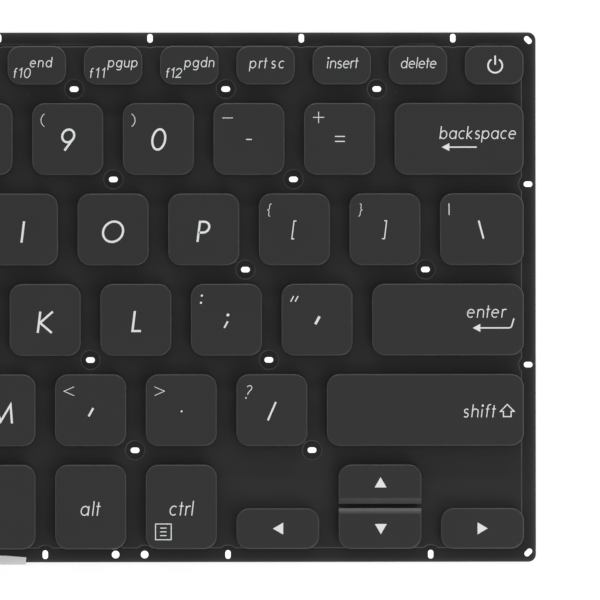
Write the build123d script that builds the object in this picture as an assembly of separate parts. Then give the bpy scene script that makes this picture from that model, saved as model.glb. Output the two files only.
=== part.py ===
from build123d import *
import os
from dataclasses import dataclass
from math import asin, atan, cos, degrees, pi, radians, sin, sqrt

os.makedirs("parts", exist_ok=True)

# Millimetres. X runs along the key rows, Y towards the function row and Z up from the
# underside of the support plate. The origin is the middle of that underside.

# Key layout
KEY_PITCH = 19.05
KEY_GAP = 3.9
ROW_PITCH = 19.0
KEY_DEPTH = 15.3
GRAVE_WIDTH = 9.1
BACKSPACE_WIDTH = 27.3
FUNCTION_GAP = 3.52
FUNCTION_DEPTH = 8.3
BOTTOM_DEPTH = 17.9
ARROW_DEPTH = 8.7
ARROW_SPLIT = 0.75
SPACE_UNITS = 5
UPPER_STAGGER = 0.5
HOME_STAGGER = 0.75
LOWER_STAGGER = 1.25
BOTTOM_STAGGER = 0.25

# Support plate
MARGIN_SIDE = 2.6
MARGIN_BACK = 2.8
MARGIN_FRONT = 2.75
PLATE_THICKNESS = 0.5
PLATE_CORNER = 1.6

# Heat-stake slots and locating holes
SLOT_LENGTH = 1.95
SLOT_WIDTH = 1.25
SLOT_INSET_BACK = 1.2
SLOT_INSET_FRONT = 1.6
SLOT_INSET_SIDE = 1.6
SLOT_INSET_FRONT_CORNER = 1.95
SLOT_SHIFT_BACK = 1.05
LOCATING_DIAMETER = 1.7
LOCATING_SPACING = 6.1
LOCATING_SHIFT = 1.2
TAIL_SLOT_LENGTH = 24.0
TAIL_SLOT_WIDTH = 1.6

# Slots that stand off the middle of the gap to the left of a key, by the distance to the right
SLOT_SHIFT = {
    "f11": -0.15,
    "f12": -0.2,
    "print_screen": -0.3,
    "insert": -0.4,
    "delete": -0.55,
    "power": -0.55,
    "0": 0.1,
    "equals": -0.1,
    "left_bracket": -0.7,
    "backslash": -0.9,
    "quote": -0.55,
    "period": -0.15,
    "right_shift": -1.0,
    "left_arrow": 0.35,
}
UNSLOTTED = ("o",)

# Membrane
MEMBRANE_THICKNESS = 0.3
MEMBRANE_INSET = 2.9
MEMBRANE_CORNER = 2.4
SLOT_CLEARANCE = 2.05

# Keycaps
KEY_TRAVEL = 1.4
PRESSED_CLEARANCE = 0.2
CAP_HEIGHT = 2.0
CAP_ROOF = 0.8
CAP_WALL = 1.25
CAP_CORNER = 2.8
CAP_DRAFT = 4.0

# Domes and scissor links
DOME_DIAMETER = 5.0
HALF_DOME_DIAMETER = 2.6
DOME_TOP_SHARE = 0.55
LINK_WALL_CLEARANCE = 1.325
LINK_BAR = 1.0
HALF_LINK_LENGTH = 9.5
HALF_LINK_WALL_CLEARANCE = 0.25
HALF_LINK_BAR = 0.5
LINK_THICKNESS = 0.7
LINK_SIDE_CLEARANCE = 0.15
LINK_END_CLEARANCE = 0.05

# Stabiliser bars
BAR_DIAMETER = 0.6
BAR_ARM = 6.0
BAR_FOOT = 1.5
BAR_WALL_OFFSET = 0.75
BAR_END_OFFSET = 1.2
BAR_ROOF_CLEARANCE = 0.1
BAR_FOOT_CLEARANCE = 0.05
CLIP_CLEARANCE = 0.08
CLIP_THICKNESS = 0.4
CLIP_LENGTH = 1.2
CLIP_FROM_ARM = 2.0

# Paper label
LABEL_THICKNESS = 0.12
LABEL_LENGTH = 14.0
LABEL_FLAP = 1.4
LABEL_OVERHANG = 0.5
LABEL_RIGHT = 29.8

# Chords that stand for a quarter or half circle on the pieces that repeat
CAP_CHORDS = 3
FIXED_CAP_CHORDS = 2
SHEET_CHORDS = 4
SLOT_CHORDS = 3
CLEARANCE_SIDES = 6
DOME_SIDES = 6
POST_SIDES = 4
BAR_SIDES = 6

# Rows from back to front
FUNCTION_ROW = "esc f1 f2 f3 f4 f5 f6 f7 f8 f9 f10 f11 f12 print_screen insert delete power"
NUMBER_ROW = "grave 1 2 3 4 5 6 7 8 9 0 minus equals backspace"
UPPER_ROW = "tab q w e r t y u i o p left_bracket right_bracket backslash"
HOME_ROW = "caps_lock a s d f g h j k l semicolon quote enter"
LOWER_ROW = "left_shift z x c v b n m comma period slash right_shift"
FIRST_MOVING = ("f7", "6", "y", "g", "b", "space")
BARRED = ("backspace", "enter", "right_shift", "space")

# Sizes that follow from those above
KEY_WIDTH = KEY_PITCH - KEY_GAP
ROW_GAP = ROW_PITCH - KEY_DEPTH
FULL_KEYS = len(NUMBER_ROW.split()) - 2
BLOCK_WIDTH = GRAVE_WIDTH + KEY_GAP + FULL_KEYS * KEY_PITCH + BACKSPACE_WIDTH
BLOCK_LEFT = -BLOCK_WIDTH / 2
BLOCK_RIGHT = BLOCK_WIDTH / 2
PLATE_WIDTH = BLOCK_WIDTH + 2 * MARGIN_SIDE
LETTER_DEPTH = 4 * ROW_PITCH
PLATE_DEPTH = MARGIN_BACK + FUNCTION_DEPTH + ROW_GAP + LETTER_DEPTH + BOTTOM_DEPTH + MARGIN_FRONT
MEMBRANE_TOP = PLATE_THICKNESS + MEMBRANE_THICKNESS
CAP_RIM = MEMBRANE_TOP + PRESSED_CLEARANCE + KEY_TRAVEL
CAP_CEILING = CAP_RIM + CAP_HEIGHT - CAP_ROOF
LINK_LENGTH = KEY_DEPTH - 2 * (CAP_WALL + LINK_WALL_CLEARANCE)
LINK_WIDTH = KEY_WIDTH - 2 * (CAP_WALL + LINK_WALL_CLEARANCE)
HALF_LINK_WIDTH = FUNCTION_DEPTH - 2 * (CAP_WALL + HALF_LINK_WALL_CLEARANCE)


@dataclass(frozen=True)
class Key:
    """One key: its name, its four edges, whether it travels and which edges are square."""

    name: str
    left: float
    right: float
    back: float
    front: float
    moves: bool
    square_back: bool = False
    square_front: bool = False

    @property
    def width(self):
        return self.right - self.left

    @property
    def depth(self):
        return self.back - self.front

    @property
    def centre(self):
        return ((self.left + self.right) / 2, (self.back + self.front) / 2)

    @property
    def half_height(self):
        return self.depth < KEY_DEPTH * 0.8


def row_of_keys(names, spans, back, depth):
    """Keys of one row, fixed up to the first one that travels."""
    keys = []
    moves = False
    for name, (left, right) in zip(names, spans):
        moves = moves or name in FIRST_MOVING
        keys.append(Key(name, left, right, back, back - depth, moves))
    return keys


def staggered_spans(count, stagger):
    """Left and right edges of a row whose end keys fill up the block."""
    first = BLOCK_LEFT + GRAVE_WIDTH + KEY_GAP + stagger * KEY_PITCH
    spans = [(BLOCK_LEFT, first - KEY_GAP)]
    for index in range(count - 2):
        left = first + index * KEY_PITCH
        spans.append((left, left + KEY_WIDTH))
    spans.append((first + (count - 2) * KEY_PITCH, BLOCK_RIGHT))
    return spans


def function_spans(count):
    """Left and right edges of the evenly spaced function keys."""
    width = (BLOCK_WIDTH - (count - 1) * FUNCTION_GAP) / count
    pitch = width + FUNCTION_GAP
    return [(BLOCK_LEFT + i * pitch, BLOCK_LEFT + i * pitch + width) for i in range(count)]


def bottom_keys(back):
    """Modifiers, space bar and the half-height arrow keys of the front row."""
    first = BLOCK_LEFT + GRAVE_WIDTH + KEY_GAP + BOTTOM_STAGGER * KEY_PITCH
    space = first + 3 * KEY_PITCH
    after = space + SPACE_UNITS * KEY_PITCH
    arrows = after + 2 * KEY_PITCH
    front = back - BOTTOM_DEPTH
    names = "left_ctrl fn meta left_alt space right_alt right_ctrl".split()
    spans = [(BLOCK_LEFT, first - KEY_GAP)]
    spans += [(first + i * KEY_PITCH, first + i * KEY_PITCH + KEY_WIDTH) for i in range(3)]
    spans.append((space, after - KEY_GAP))
    spans += [(after + i * KEY_PITCH, after + i * KEY_PITCH + KEY_WIDTH) for i in range(2)]
    keys = row_of_keys(names, spans, back, BOTTOM_DEPTH)
    width = (BLOCK_RIGHT - arrows - 2 * KEY_GAP) / 3
    lefts = [arrows + i * (width + KEY_GAP) for i in range(3)]
    top = front + ARROW_DEPTH
    keys.append(Key("left_arrow", lefts[0], lefts[0] + width, top, front, True))
    up_front = top + ARROW_SPLIT
    keys.append(Key("up_arrow", lefts[1], lefts[1] + width, back, up_front, True, False, True))
    keys.append(Key("down_arrow", lefts[1], lefts[1] + width, top, front, True, True, False))
    keys.append(Key("right_arrow", lefts[2], lefts[2] + width, top, front, True))
    return keys


def lay_out_rows():
    """All six rows of keys, from the function row to the front row."""
    back = PLATE_DEPTH / 2 - MARGIN_BACK
    names = FUNCTION_ROW.split()
    rows = [row_of_keys(names, function_spans(len(names)), back, FUNCTION_DEPTH)]
    back -= FUNCTION_DEPTH + ROW_GAP
    lettered = (
        (NUMBER_ROW, 0.0),
        (UPPER_ROW, UPPER_STAGGER),
        (HOME_ROW, HOME_STAGGER),
        (LOWER_ROW, LOWER_STAGGER),
    )
    for text, stagger in lettered:
        names = text.split()
        rows.append(row_of_keys(names, staggered_spans(len(names), stagger), back, KEY_DEPTH))
        back -= ROW_PITCH
    rows.append(bottom_keys(back))
    return rows


def chord_points(x, y, radius, start, sweep, chords):
    """Points on an arc, its ends included."""
    angles = [radians(start + sweep * i / chords) for i in range(chords + 1)]
    return [(x + radius * cos(a), y + radius * sin(a)) for a in angles]


def rounded_outline(width, depth, radius, chords, square_back=False, square_front=False):
    """Face of a rectangle whose round corners are drawn with a few chords."""
    points = []
    for start, side_x, side_y, square in (
        (0, 1, 1, square_back),
        (90, -1, 1, square_back),
        (180, -1, -1, square_front),
        (270, 1, -1, square_front),
    ):
        if square:
            points.append((side_x * width / 2, side_y * depth / 2))
        else:
            x = side_x * (width / 2 - radius)
            y = side_y * (depth / 2 - radius)
            points += chord_points(x, y, radius, start, 90, chords)
    return make_face(Polyline(*points, close=True))


def keycap(key):
    """Hollow drafted cap at its place, with clips where a stabiliser bar hangs."""
    chords = CAP_CHORDS if key.moves else FIXED_CAP_CHORDS
    outline = rounded_outline(
        key.width, key.depth, CAP_CORNER, chords, key.square_back, key.square_front
    )
    cap = extrude(outline, amount=CAP_HEIGHT, taper=CAP_DRAFT)
    hollow = CAP_HEIGHT - CAP_ROOF
    pocket = Box(
        key.width - 2 * CAP_WALL,
        key.depth - 2 * CAP_WALL,
        hollow,
        align=(Align.CENTER, Align.CENTER, Align.MIN),
    )
    cap -= pocket
    if key.name in BARRED:
        cap += bar_clips(key)
    return Pos(*key.centre, CAP_RIM) * cap


def bar_place(key):
    """Half span, Y and Z of a bar's long run, from the key's centre and the plate's underside."""
    half_span = key.width / 2 - CAP_WALL - BAR_END_OFFSET
    y = key.depth / 2 - CAP_WALL - BAR_WALL_OFFSET
    z = CAP_CEILING - BAR_ROOF_CLEARANCE - BAR_DIAMETER / 2
    return half_span, y, z


def bar_clips(key):
    """Fingers under the roof on both sides of a bar, two pairs to a cap."""
    half_span, y, _ = bar_place(key)
    hollow = CAP_HEIGHT - CAP_ROOF
    reach = BAR_ROOF_CLEARANCE + BAR_DIAMETER
    low = hollow - reach
    clear = BAR_DIAMETER / 2 + CLIP_CLEARANCE
    wall = key.depth / 2 - CAP_WALL
    behind = wall - (y + clear)
    fingers = []
    for side in (-1, 1):
        x = side * (half_span - CLIP_FROM_ARM)
        for near, thick in ((y - clear - CLIP_THICKNESS, CLIP_THICKNESS), (y + clear, behind)):
            finger = Box(CLIP_LENGTH, thick, reach, align=(Align.CENTER, Align.MIN, Align.MIN))
            fingers.append(Pos(x, near, low) * finger)
    return fingers


def stabiliser_bar(key):
    """Bent wire: long run under the roof, two arms and two feet above the membrane."""
    half_span, y, z = bar_place(key)
    foot_z = MEMBRANE_TOP + BAR_FOOT_CLEARANCE + BAR_DIAMETER / 2
    foot_y = y - sqrt(BAR_ARM**2 - (z - foot_z) ** 2)
    path = Polyline(
        (half_span - BAR_FOOT, foot_y, foot_z),
        (half_span, foot_y, foot_z),
        (half_span, y, z),
        (-half_span, y, z),
        (-half_span, foot_y, foot_z),
        (-half_span + BAR_FOOT, foot_y, foot_z),
    )
    section = Plane(origin=path @ 0, z_dir=path % 0) * RegularPolygon(BAR_DIAMETER / 2, BAR_SIDES)
    bar = sweep(section, path=path, transition=Transition.RIGHT)
    return Pos(*key.centre, 0) * bar


def dome(key):
    """Tapering rubber dome between the membrane and the roof of the cap."""
    sides = DOME_SIDES if key.moves else POST_SIDES
    height = CAP_CEILING - MEMBRANE_TOP
    radius = (HALF_DOME_DIAMETER if key.half_height else DOME_DIAMETER) / 2
    shrink = radius * cos(pi / sides) * (1 - DOME_TOP_SHARE)
    taper = degrees(atan(shrink / height))
    body = extrude(RegularPolygon(radius, sides), amount=height, taper=taper)
    return Pos(*key.centre, MEMBRANE_TOP) * body


def scissor_link(key, inner):
    """One tilted frame of the scissor pair; the inner frame crosses inside the outer one."""
    length = HALF_LINK_LENGTH if key.half_height else LINK_LENGTH
    width = HALF_LINK_WIDTH if key.half_height else LINK_WIDTH
    bar = HALF_LINK_BAR if key.half_height else LINK_BAR
    if inner:
        width -= 2 * (bar + LINK_SIDE_CLEARANCE)
    frame = Box(width, length, LINK_THICKNESS)
    frame -= Box(width - 2 * bar, length - 2 * bar, LINK_THICKNESS)
    rise = CAP_CEILING - MEMBRANE_TOP - 2 * LINK_END_CLEARANCE - LINK_THICKNESS
    tilt = degrees(asin(rise / length))
    turn = 90 if key.half_height else 0
    middle = (CAP_CEILING + MEMBRANE_TOP) / 2
    return Pos(*key.centre, middle) * Rot(0, 0, turn) * Rot(-tilt if inner else tilt, 0, 0) * frame


def slot_x(key, gap):
    """Place of a slot in the gap to the left of a key."""
    return key.left - gap / 2 + SLOT_SHIFT.get(key.name, 0)


def slot_places(rows):
    """Centre and direction of every plain slot, field and edge ones apart."""
    function, number, upper, home, lower, bottom = rows
    field = []
    edge = []
    back = PLATE_DEPTH / 2 - SLOT_INSET_BACK
    front = SLOT_INSET_FRONT - PLATE_DEPTH / 2
    for index, key in enumerate(function[1:], start=1):
        x = slot_x(key, FUNCTION_GAP)
        if index % 2:
            field.append((x, key.front - ROW_GAP / 2 + SLOT_SHIFT_BACK, 0))
        else:
            edge.append((x, back, 90))
    for row, odd in ((number, 0), (upper, 1), (home, 1), (lower, 1)):
        for index, key in enumerate(row[1:], start=1):
            if index % 2 == odd and key.name not in UNSLOTTED:
                y = key.front - ROW_GAP / 2 + SLOT_SHIFT_BACK
                field.append((slot_x(key, KEY_GAP), y, 0))
    for key in bottom:
        if key.name in ("fn", "left_alt", "right_alt", "left_arrow", "right_arrow"):
            edge.append((slot_x(key, KEY_GAP), front, 90))
    edge.append((bottom[4].centre[0], front, 90))
    for side in (-1, 1):
        x = side * (PLATE_WIDTH / 2 - SLOT_INSET_SIDE)
        edge.append((x, PLATE_DEPTH / 2 - SLOT_INSET_SIDE, -45 * side))
        edge.append((x, SLOT_INSET_FRONT_CORNER - PLATE_DEPTH / 2, 45 * side))
    return field, edge


def side_slot_places(rows):
    """Centres of the four mounting slots at the ends of two row gaps."""
    x = PLATE_WIDTH / 2 - SLOT_INSET_SIDE
    levels = [row[0].front - ROW_GAP / 2 for row in (rows[1], rows[3])]
    return [(side * x, y) for y in levels for side in (-1, 1)]


def locating_places(rows):
    """Centres of the two round locating holes at the front edge."""
    x = rows[5][6].left - KEY_GAP / 2 - LOCATING_SHIFT
    y = SLOT_INSET_FRONT - PLATE_DEPTH / 2
    return [(x + side * LOCATING_SPACING / 2, y) for side in (-1, 1)]


def chord_slot(x, y, turn):
    """Obround slot whose ends are drawn with a few chords."""
    radius = SLOT_WIDTH / 2
    reach = (SLOT_LENGTH - SLOT_WIDTH) / 2
    points = chord_points(reach, 0, radius, -90, 180, SLOT_CHORDS)
    points += chord_points(-reach, 0, radius, 90, 180, SLOT_CHORDS)
    return Pos(x, y) * Rot(0, 0, turn) * make_face(Polyline(*points, close=True))


def support_plate(rows):
    """Stamped sheet with its slots, its locating holes and the slot for the flat cable."""
    field, edge = slot_places(rows)
    cuts = [chord_slot(*place) for place in field + edge]
    cuts += [Pos(*place) * SlotOverall(SLOT_LENGTH, SLOT_WIDTH) for place in side_slot_places(rows)]
    cuts += [Pos(*place) * Circle(LOCATING_DIAMETER / 2) for place in locating_places(rows)]
    cuts.append(Pos(*rows[5][4].centre) * Rectangle(TAIL_SLOT_LENGTH, TAIL_SLOT_WIDTH))
    sheet = rounded_outline(PLATE_WIDTH, PLATE_DEPTH, PLATE_CORNER, SHEET_CHORDS) - cuts
    return extrude(sheet, amount=PLATE_THICKNESS)


def membrane(rows):
    """Switch sheet on the plate, with a clearance hole or notch at each slot."""
    field, edge = slot_places(rows)
    places = [place[:2] for place in field + edge]
    places += side_slot_places(rows) + locating_places(rows)
    across = SLOT_CLEARANCE / cos(pi / CLEARANCE_SIDES)
    hole = RegularPolygon(across, CLEARANCE_SIDES)
    sheet = rounded_outline(
        PLATE_WIDTH - 2 * MEMBRANE_INSET,
        PLATE_DEPTH - 2 * MEMBRANE_INSET,
        MEMBRANE_CORNER,
        SHEET_CHORDS,
    )
    sheet -= [Pos(*place) * hole for place in places]
    return Pos(0, 0, PLATE_THICKNESS) * extrude(sheet, amount=MEMBRANE_THICKNESS)


def paper_label():
    """Paper tab that lies on the front rim, reaches past the front edge and folds down there."""
    edge = -PLATE_DEPTH / 2
    top = PLATE_THICKNESS + LABEL_THICKNESS
    fold = edge - LABEL_OVERHANG
    section = Polyline(
        (fold + LABEL_THICKNESS, 0),
        (fold + LABEL_THICKNESS, PLATE_THICKNESS),
        (edge + LABEL_FLAP, PLATE_THICKNESS),
        (edge + LABEL_FLAP, top),
        (fold, top),
        (fold, 0),
        close=True,
    )
    return extrude(Plane.YZ.offset(LABEL_RIGHT - LABEL_LENGTH) * make_face(section), LABEL_LENGTH)


def write(name, solids):
    """Write one node: one solid, or a group of separate ones."""
    bodies = [body for solid in solids for body in solid.solids()]
    shape = bodies[0] if len(bodies) == 1 else Compound(children=bodies)
    export_step(shape, f"parts/{name}.step")


def main():
    """Build and write every node."""
    rows = lay_out_rows()
    keys = [key for row in rows for key in row]
    moving = [key for key in keys if key.moves]
    fixed = [key for key in keys if not key.moves]
    write("support_plate", [support_plate(rows)])
    write("membrane", [membrane(rows)])
    write("rubber_domes", [dome(key) for key in moving])
    write("scissor_outer_links", [scissor_link(key, False) for key in moving])
    write("scissor_inner_links", [scissor_link(key, True) for key in moving])
    write("paper_label", [paper_label()])
    write("left_keycaps", [keycap(key) + dome(key) for key in fixed])
    for key in moving:
        write(f"key_{key.name}", [keycap(key)])
        if key.name in BARRED:
            write(f"bar_{key.name}", [stabiliser_bar(key)])


main()
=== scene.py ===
"""Looks of a flat laptop keyboard: printed keycaps, scissor units, switch sheet, plate and label.

Sizes in the classes are in millimetres and turns in degrees, unless they say otherwise.
"""

import logging
import math
from dataclasses import dataclass, field
from enum import Enum

import bmesh
import bpy
from mathutils import Matrix, Vector


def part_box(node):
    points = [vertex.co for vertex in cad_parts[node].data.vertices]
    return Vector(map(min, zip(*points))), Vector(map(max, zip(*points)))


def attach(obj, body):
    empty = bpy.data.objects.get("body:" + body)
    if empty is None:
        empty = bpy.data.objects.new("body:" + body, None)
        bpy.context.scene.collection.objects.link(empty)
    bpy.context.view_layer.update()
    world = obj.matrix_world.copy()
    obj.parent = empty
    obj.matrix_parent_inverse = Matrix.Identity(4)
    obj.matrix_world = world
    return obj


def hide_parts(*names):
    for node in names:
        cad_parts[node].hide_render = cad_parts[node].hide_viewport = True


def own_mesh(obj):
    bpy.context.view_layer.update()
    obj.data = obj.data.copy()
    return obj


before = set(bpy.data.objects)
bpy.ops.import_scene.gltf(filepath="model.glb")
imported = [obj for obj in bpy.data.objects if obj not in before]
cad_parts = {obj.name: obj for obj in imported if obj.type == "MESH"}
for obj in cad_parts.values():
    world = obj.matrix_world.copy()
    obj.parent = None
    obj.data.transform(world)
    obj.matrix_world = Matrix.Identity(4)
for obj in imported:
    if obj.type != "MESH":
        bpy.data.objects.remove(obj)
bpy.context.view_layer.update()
MM = 0.001
log = logging.getLogger("keyboard")

Point = tuple[float, float]
Spot = tuple[float, float, float]
Colour = tuple[float, float, float]
Strokes = list[tuple[str, list[Point]]]
Socket = bpy.types.NodeSocket
Mesh = bpy.types.Mesh
Material = bpy.types.Material
Object = bpy.types.Object


# Helpers


def show(name: str, data: bpy.types.ID) -> Object:
    """Adds an object at the origin.

    Args:
        name: its name.
        data: what it shows.

    Returns:
        The object.
    """
    item = bpy.data.objects.new(name, data)
    bpy.context.scene.collection.objects.link(item)
    return item


def add_piece(name: str, mesh: Mesh) -> Object:
    """Adds a piece at the origin and reports it.

    Args:
        name: its name.
        mesh: its shape, which takes the same name.

    Returns:
        The piece.
    """
    mesh.name = name
    log.info("%s: %d faces", name, len(mesh.polygons))
    return show(name, mesh)


def settle(piece: Object, body: str, slot: str, *nodes: str) -> None:
    """Hangs a piece on its body and hides the CAD nodes that it stands for.

    Args:
        piece: the finished piece.
        body: body that carries it.
        slot: material slot of the record; not used.
        nodes: CAD nodes that it stands for, if any.
    """
    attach(piece, body)
    if nodes:
        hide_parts(*nodes)


def plain_mesh(item: Object) -> Mesh:
    """Returns an object's mesh as its modifiers leave it."""
    graph = bpy.context.evaluated_depsgraph_get()
    return bpy.data.meshes.new_from_object(item.evaluated_get(graph))


def apply_modifiers(piece: Object) -> None:
    """Turns modifiers into plain mesh.

    Args:
        piece: object that has them.
    """
    mesh = plain_mesh(piece)
    piece.modifiers.clear()
    piece.data = mesh


def merged(meshes: list[Mesh]) -> Mesh:
    """Makes one mesh of several.

    Args:
        meshes: meshes with the same materials.

    Returns:
        The whole.
    """
    shape = bmesh.new()
    for mesh in meshes:
        shape.from_mesh(mesh)
    whole = meshes[0].copy()
    shape.to_mesh(whole)
    shape.free()
    return whole


def drop_empty_slots(mesh: Mesh) -> None:
    """Removes material slots that hold nothing and keeps each face on its own material.

    Args:
        mesh: mesh to change.
    """
    old = list(mesh.materials)
    kept = [material for material in old if material is not None]
    indices = [kept.index(old[face.material_index]) for face in mesh.polygons]
    mesh.materials.clear()
    for material in kept:
        mesh.materials.append(material)
    mesh.polygons.foreach_set("material_index", indices)


# Node trees


class NodeTree:
    """Adds, fills and links the nodes of one tree."""

    def __init__(self, tree: bpy.types.NodeTree) -> None:
        """Keeps the tree that is worked on."""
        self.tree = tree

    def add(self, kind: str, inputs: dict | None = None, **settings: object) -> bpy.types.Node:
        """Adds a node.

        Args:
            kind: Blender's type name of the node.
            inputs: values or sockets for its inputs, by name or index.
            settings: properties of the node.

        Returns:
            The new node.
        """
        node = self.tree.nodes.new(kind)
        for name, value in settings.items():
            setattr(node, name, value)
        for key, value in (inputs or {}).items():
            self.put(node.inputs[key], value)
        return node

    def put(self, socket: Socket, value: object) -> None:
        """Links a socket or sets its value.

        Args:
            socket: input to fill.
            value: another socket or a plain value.
        """
        if isinstance(value, Socket):
            self.tree.links.new(value, socket)
        else:
            socket.default_value = value

    def get(self, kind: str, inputs: dict | None = None, **settings: object) -> Socket:
        """Adds a node in the same way and returns its first output."""
        return self.add(kind, inputs, **settings).outputs[0]

    def math(self, operation: str, *values: object) -> Socket:
        """Adds a math node over the values and returns its result."""
        return self.get("ShaderNodeMath", dict(enumerate(values)), operation=operation)

    def object_place(self) -> Socket:
        """Returns the shaded point in Object coordinates."""
        return self.add("ShaderNodeTexCoord").outputs["Object"]

    def split(self, vector: Socket) -> list[Socket]:
        """Returns the three parts of a vector."""
        return list(self.add("ShaderNodeSeparateXYZ", {0: vector}).outputs)

    def combine(self, x: object, y: object, z: object) -> Socket:
        """Returns a vector made of three parts."""
        return self.get("ShaderNodeCombineXYZ", {0: x, 1: y, 2: z})


class ShapeTree(NodeTree):
    """A Geometry Nodes tree with named sizes that ends in a plain, dressed mesh."""

    STEEP_RADIANS = 0.6
    WELD = 0.002 * MM

    def __init__(self, name: str, sizes: tuple[str, ...], finishes: int = 1) -> None:
        """Starts the tree.

        Args:
            name: the tree's name.
            sizes: names of its float inputs.
            finishes: number of material inputs.
        """
        super().__init__(bpy.data.node_groups.new(name, "GeometryNodeTree"))
        sockets = [("Geometry", "Geometry")] + [(size, "Float") for size in sizes]
        sockets += [(f"Finish {index + 1}", "Material") for index in range(finishes)]
        face = self.tree.interface
        for label, kind in sockets:
            face.new_socket(label, in_out="INPUT", socket_type=f"NodeSocket{kind}")
        face.new_socket("Geometry", in_out="OUTPUT", socket_type="NodeSocketGeometry")
        self.given = self.add("NodeGroupInput").outputs

    def position(self) -> Socket:
        """Returns the position of each point."""
        return self.get("GeometryNodeInputPosition")

    def rounded(self, curve: Socket, radius: object, count: int) -> Socket:
        """Returns the curve with corners rounded by that many chords."""
        sizes = {"Curve": curve, "Count": count, "Radius": radius}
        return self.get("GeometryNodeFilletCurve", sizes, mode="POLY")

    def outline(self, width: object, depth: object, corner: object, count: int) -> Socket:
        """Returns a rectangle curve with rounded corners of that many chords."""
        sizes = {"Width": width, "Height": depth}
        return self.rounded(self.get("GeometryNodeCurvePrimitiveQuadrilateral", sizes), corner, count)

    def filled(self, curve: Socket) -> Socket:
        """Returns the curve filled with one face."""
        return self.get("GeometryNodeFillCurve", {"Curve": curve}, mode="NGONS")

    def facing(self, width: object, depth: object, corner: object, square: object = 0.0) -> Socket:
        """Returns how far each point of a rounded rectangle faces along X and Y.

        Args:
            width: its size along X.
            depth: its size along Y.
            corner: radius of its corners.
            square: one at points of corners that move as if they were square.

        Returns:
            The two shares, and minus one for the points at the front.
        """
        x, y, _ = self.split(self.position())
        shares = []
        for part, size in ((x, width), (y, depth)):
            straight = self.math("MULTIPLY_ADD", size, 0.5, self.math("MULTIPLY", corner, -1.0))
            past = self.math("SUBTRACT", self.math("ABSOLUTE", part), straight)
            share = self.math("MAXIMUM", self.math("DIVIDE", past, corner), square)
            share = self.math("MINIMUM", self.math("MAXIMUM", share, 0.0), 1.0)
            shares.append(self.math("MULTIPLY", share, self.math("SIGN", part)))
        return self.combine(*shares, self.math("MULTIPLY", self.math("LESS_THAN", y, 0.0), -1.0))

    def foot(self, face: Socket, facing: Socket) -> None:
        """Starts a stack of rings.

        Args:
            face: flat face to start on.
            facing: how far each of its points faces along X and Y.
        """
        held = self.add("GeometryNodeCaptureAttribute", {"Geometry": face}, domain="POINT")
        for name, value in (("Place", self.position()), ("Facing", facing)):
            held.capture_items.new("VECTOR", name)
            self.put(held.inputs[name], value)
        self.place, self.shares = held.outputs["Place"], self.split(held.outputs["Facing"])
        self.base = held.outputs["Geometry"]

    def placed(self, part: Socket, spot: Socket, chosen: object = True) -> Socket:
        """Returns the part with its chosen points at the spot."""
        change = {"Geometry": part, "Selection": chosen, "Position": spot}
        return self.get("GeometryNodeSetPosition", change)

    def stacked(self, rings: list[tuple[object, ...]]) -> Socket:
        """Draws the foot up through rings.

        Args:
            rings: inset, height and, where it differs, the inset at the front of each ring.

        Returns:
            The skin above the foot, without the foot's own face.
        """
        mesh, end = self.base, True
        x, y, ahead = self.shares
        for inset, height, *front in rings:
            ring = {"Mesh": mesh, "Selection": end, "Offset Scale": 0.0, "Individual": False}
            drawn = self.add("GeometryNodeExtrudeMesh", ring).outputs
            along, across = self.math("MULTIPLY", x, inset), self.math("MULTIPLY", y, inset)
            if front:
                further = self.math("SUBTRACT", front[0], inset)
                across = self.math("MULTIPLY_ADD", ahead, further, across)
            step = self.combine(along, across, self.math("MULTIPLY", height, -1.0))
            spot = self.get("ShaderNodeVectorMath", {0: self.place, 1: step}, operation="SUBTRACT")
            end = drawn["Top"]
            mesh = self.placed(drawn["Mesh"], spot, end)
        return mesh

    def flipped(self, part: Socket) -> Socket:
        """Returns the part with its faces turned round."""
        return self.get("GeometryNodeFlipFaces", {"Mesh": part})

    def joined(self, *parts: Socket) -> Socket:
        """Joins parts.

        Args:
            parts: parts to join.

        Returns:
            One geometry.
        """
        node = self.add("GeometryNodeJoinGeometry")
        for part in parts:
            self.put(node.inputs[0], part)
        return node.outputs[0]

    def welded(self, *parts: Socket) -> Socket:
        """Returns the parts joined, with meeting points merged."""
        whole = {"Geometry": self.joined(*parts), "Distance": self.WELD}
        return self.get("GeometryNodeMergeByDistance", whole)

    def moved(self, part: Socket, place: object, turn: object) -> Socket:
        """Returns the part turned and moved."""
        change = {"Geometry": part, "Translation": place, "Rotation": turn}
        return self.get("GeometryNodeTransform", change)

    def swept(self, path: Socket, section: Socket) -> Socket:
        """Returns a section swept along a path, with its ends closed."""
        curves = {"Curve": path, "Profile Curve": section, "Fill Caps": True}
        return self.get("GeometryNodeCurveToMesh", curves)

    def smoothed(self, part: Socket) -> Socket:
        """Shades a part smooth and keeps its steep edges sharp.

        Args:
            part: part to shade.

        Returns:
            The shaded part.
        """
        angle = self.get("GeometryNodeInputMeshEdgeAngle")
        steep = self.get("FunctionNodeCompare", {0: angle, 1: self.STEEP_RADIANS}, operation="GREATER_THAN")
        for smooth, chosen, domain in ((True, True, "FACE"), (False, steep, "EDGE")):
            change = {"Geometry": part, "Selection": chosen, "Shade Smooth": smooth}
            part = self.get("GeometryNodeSetShadeSmooth", change, domain=domain)
        return part

    def dressed(self, part: Socket, finish: int = 1) -> Socket:
        """Realizes a part and gives it a finish.

        Args:
            part: part to dress.
            finish: number of the material input.

        Returns:
            The dressed part.
        """
        real = self.get("GeometryNodeRealizeInstances", {"Geometry": part})
        change = {"Geometry": real, "Material": self.given[f"Finish {finish}"]}
        return self.get("GeometryNodeSetMaterial", change)

    def close(self, part: Socket) -> "ShapeTree":
        """Ends the tree with the part."""
        self.add("NodeGroupOutput", {"Geometry": part})
        return self

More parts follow.
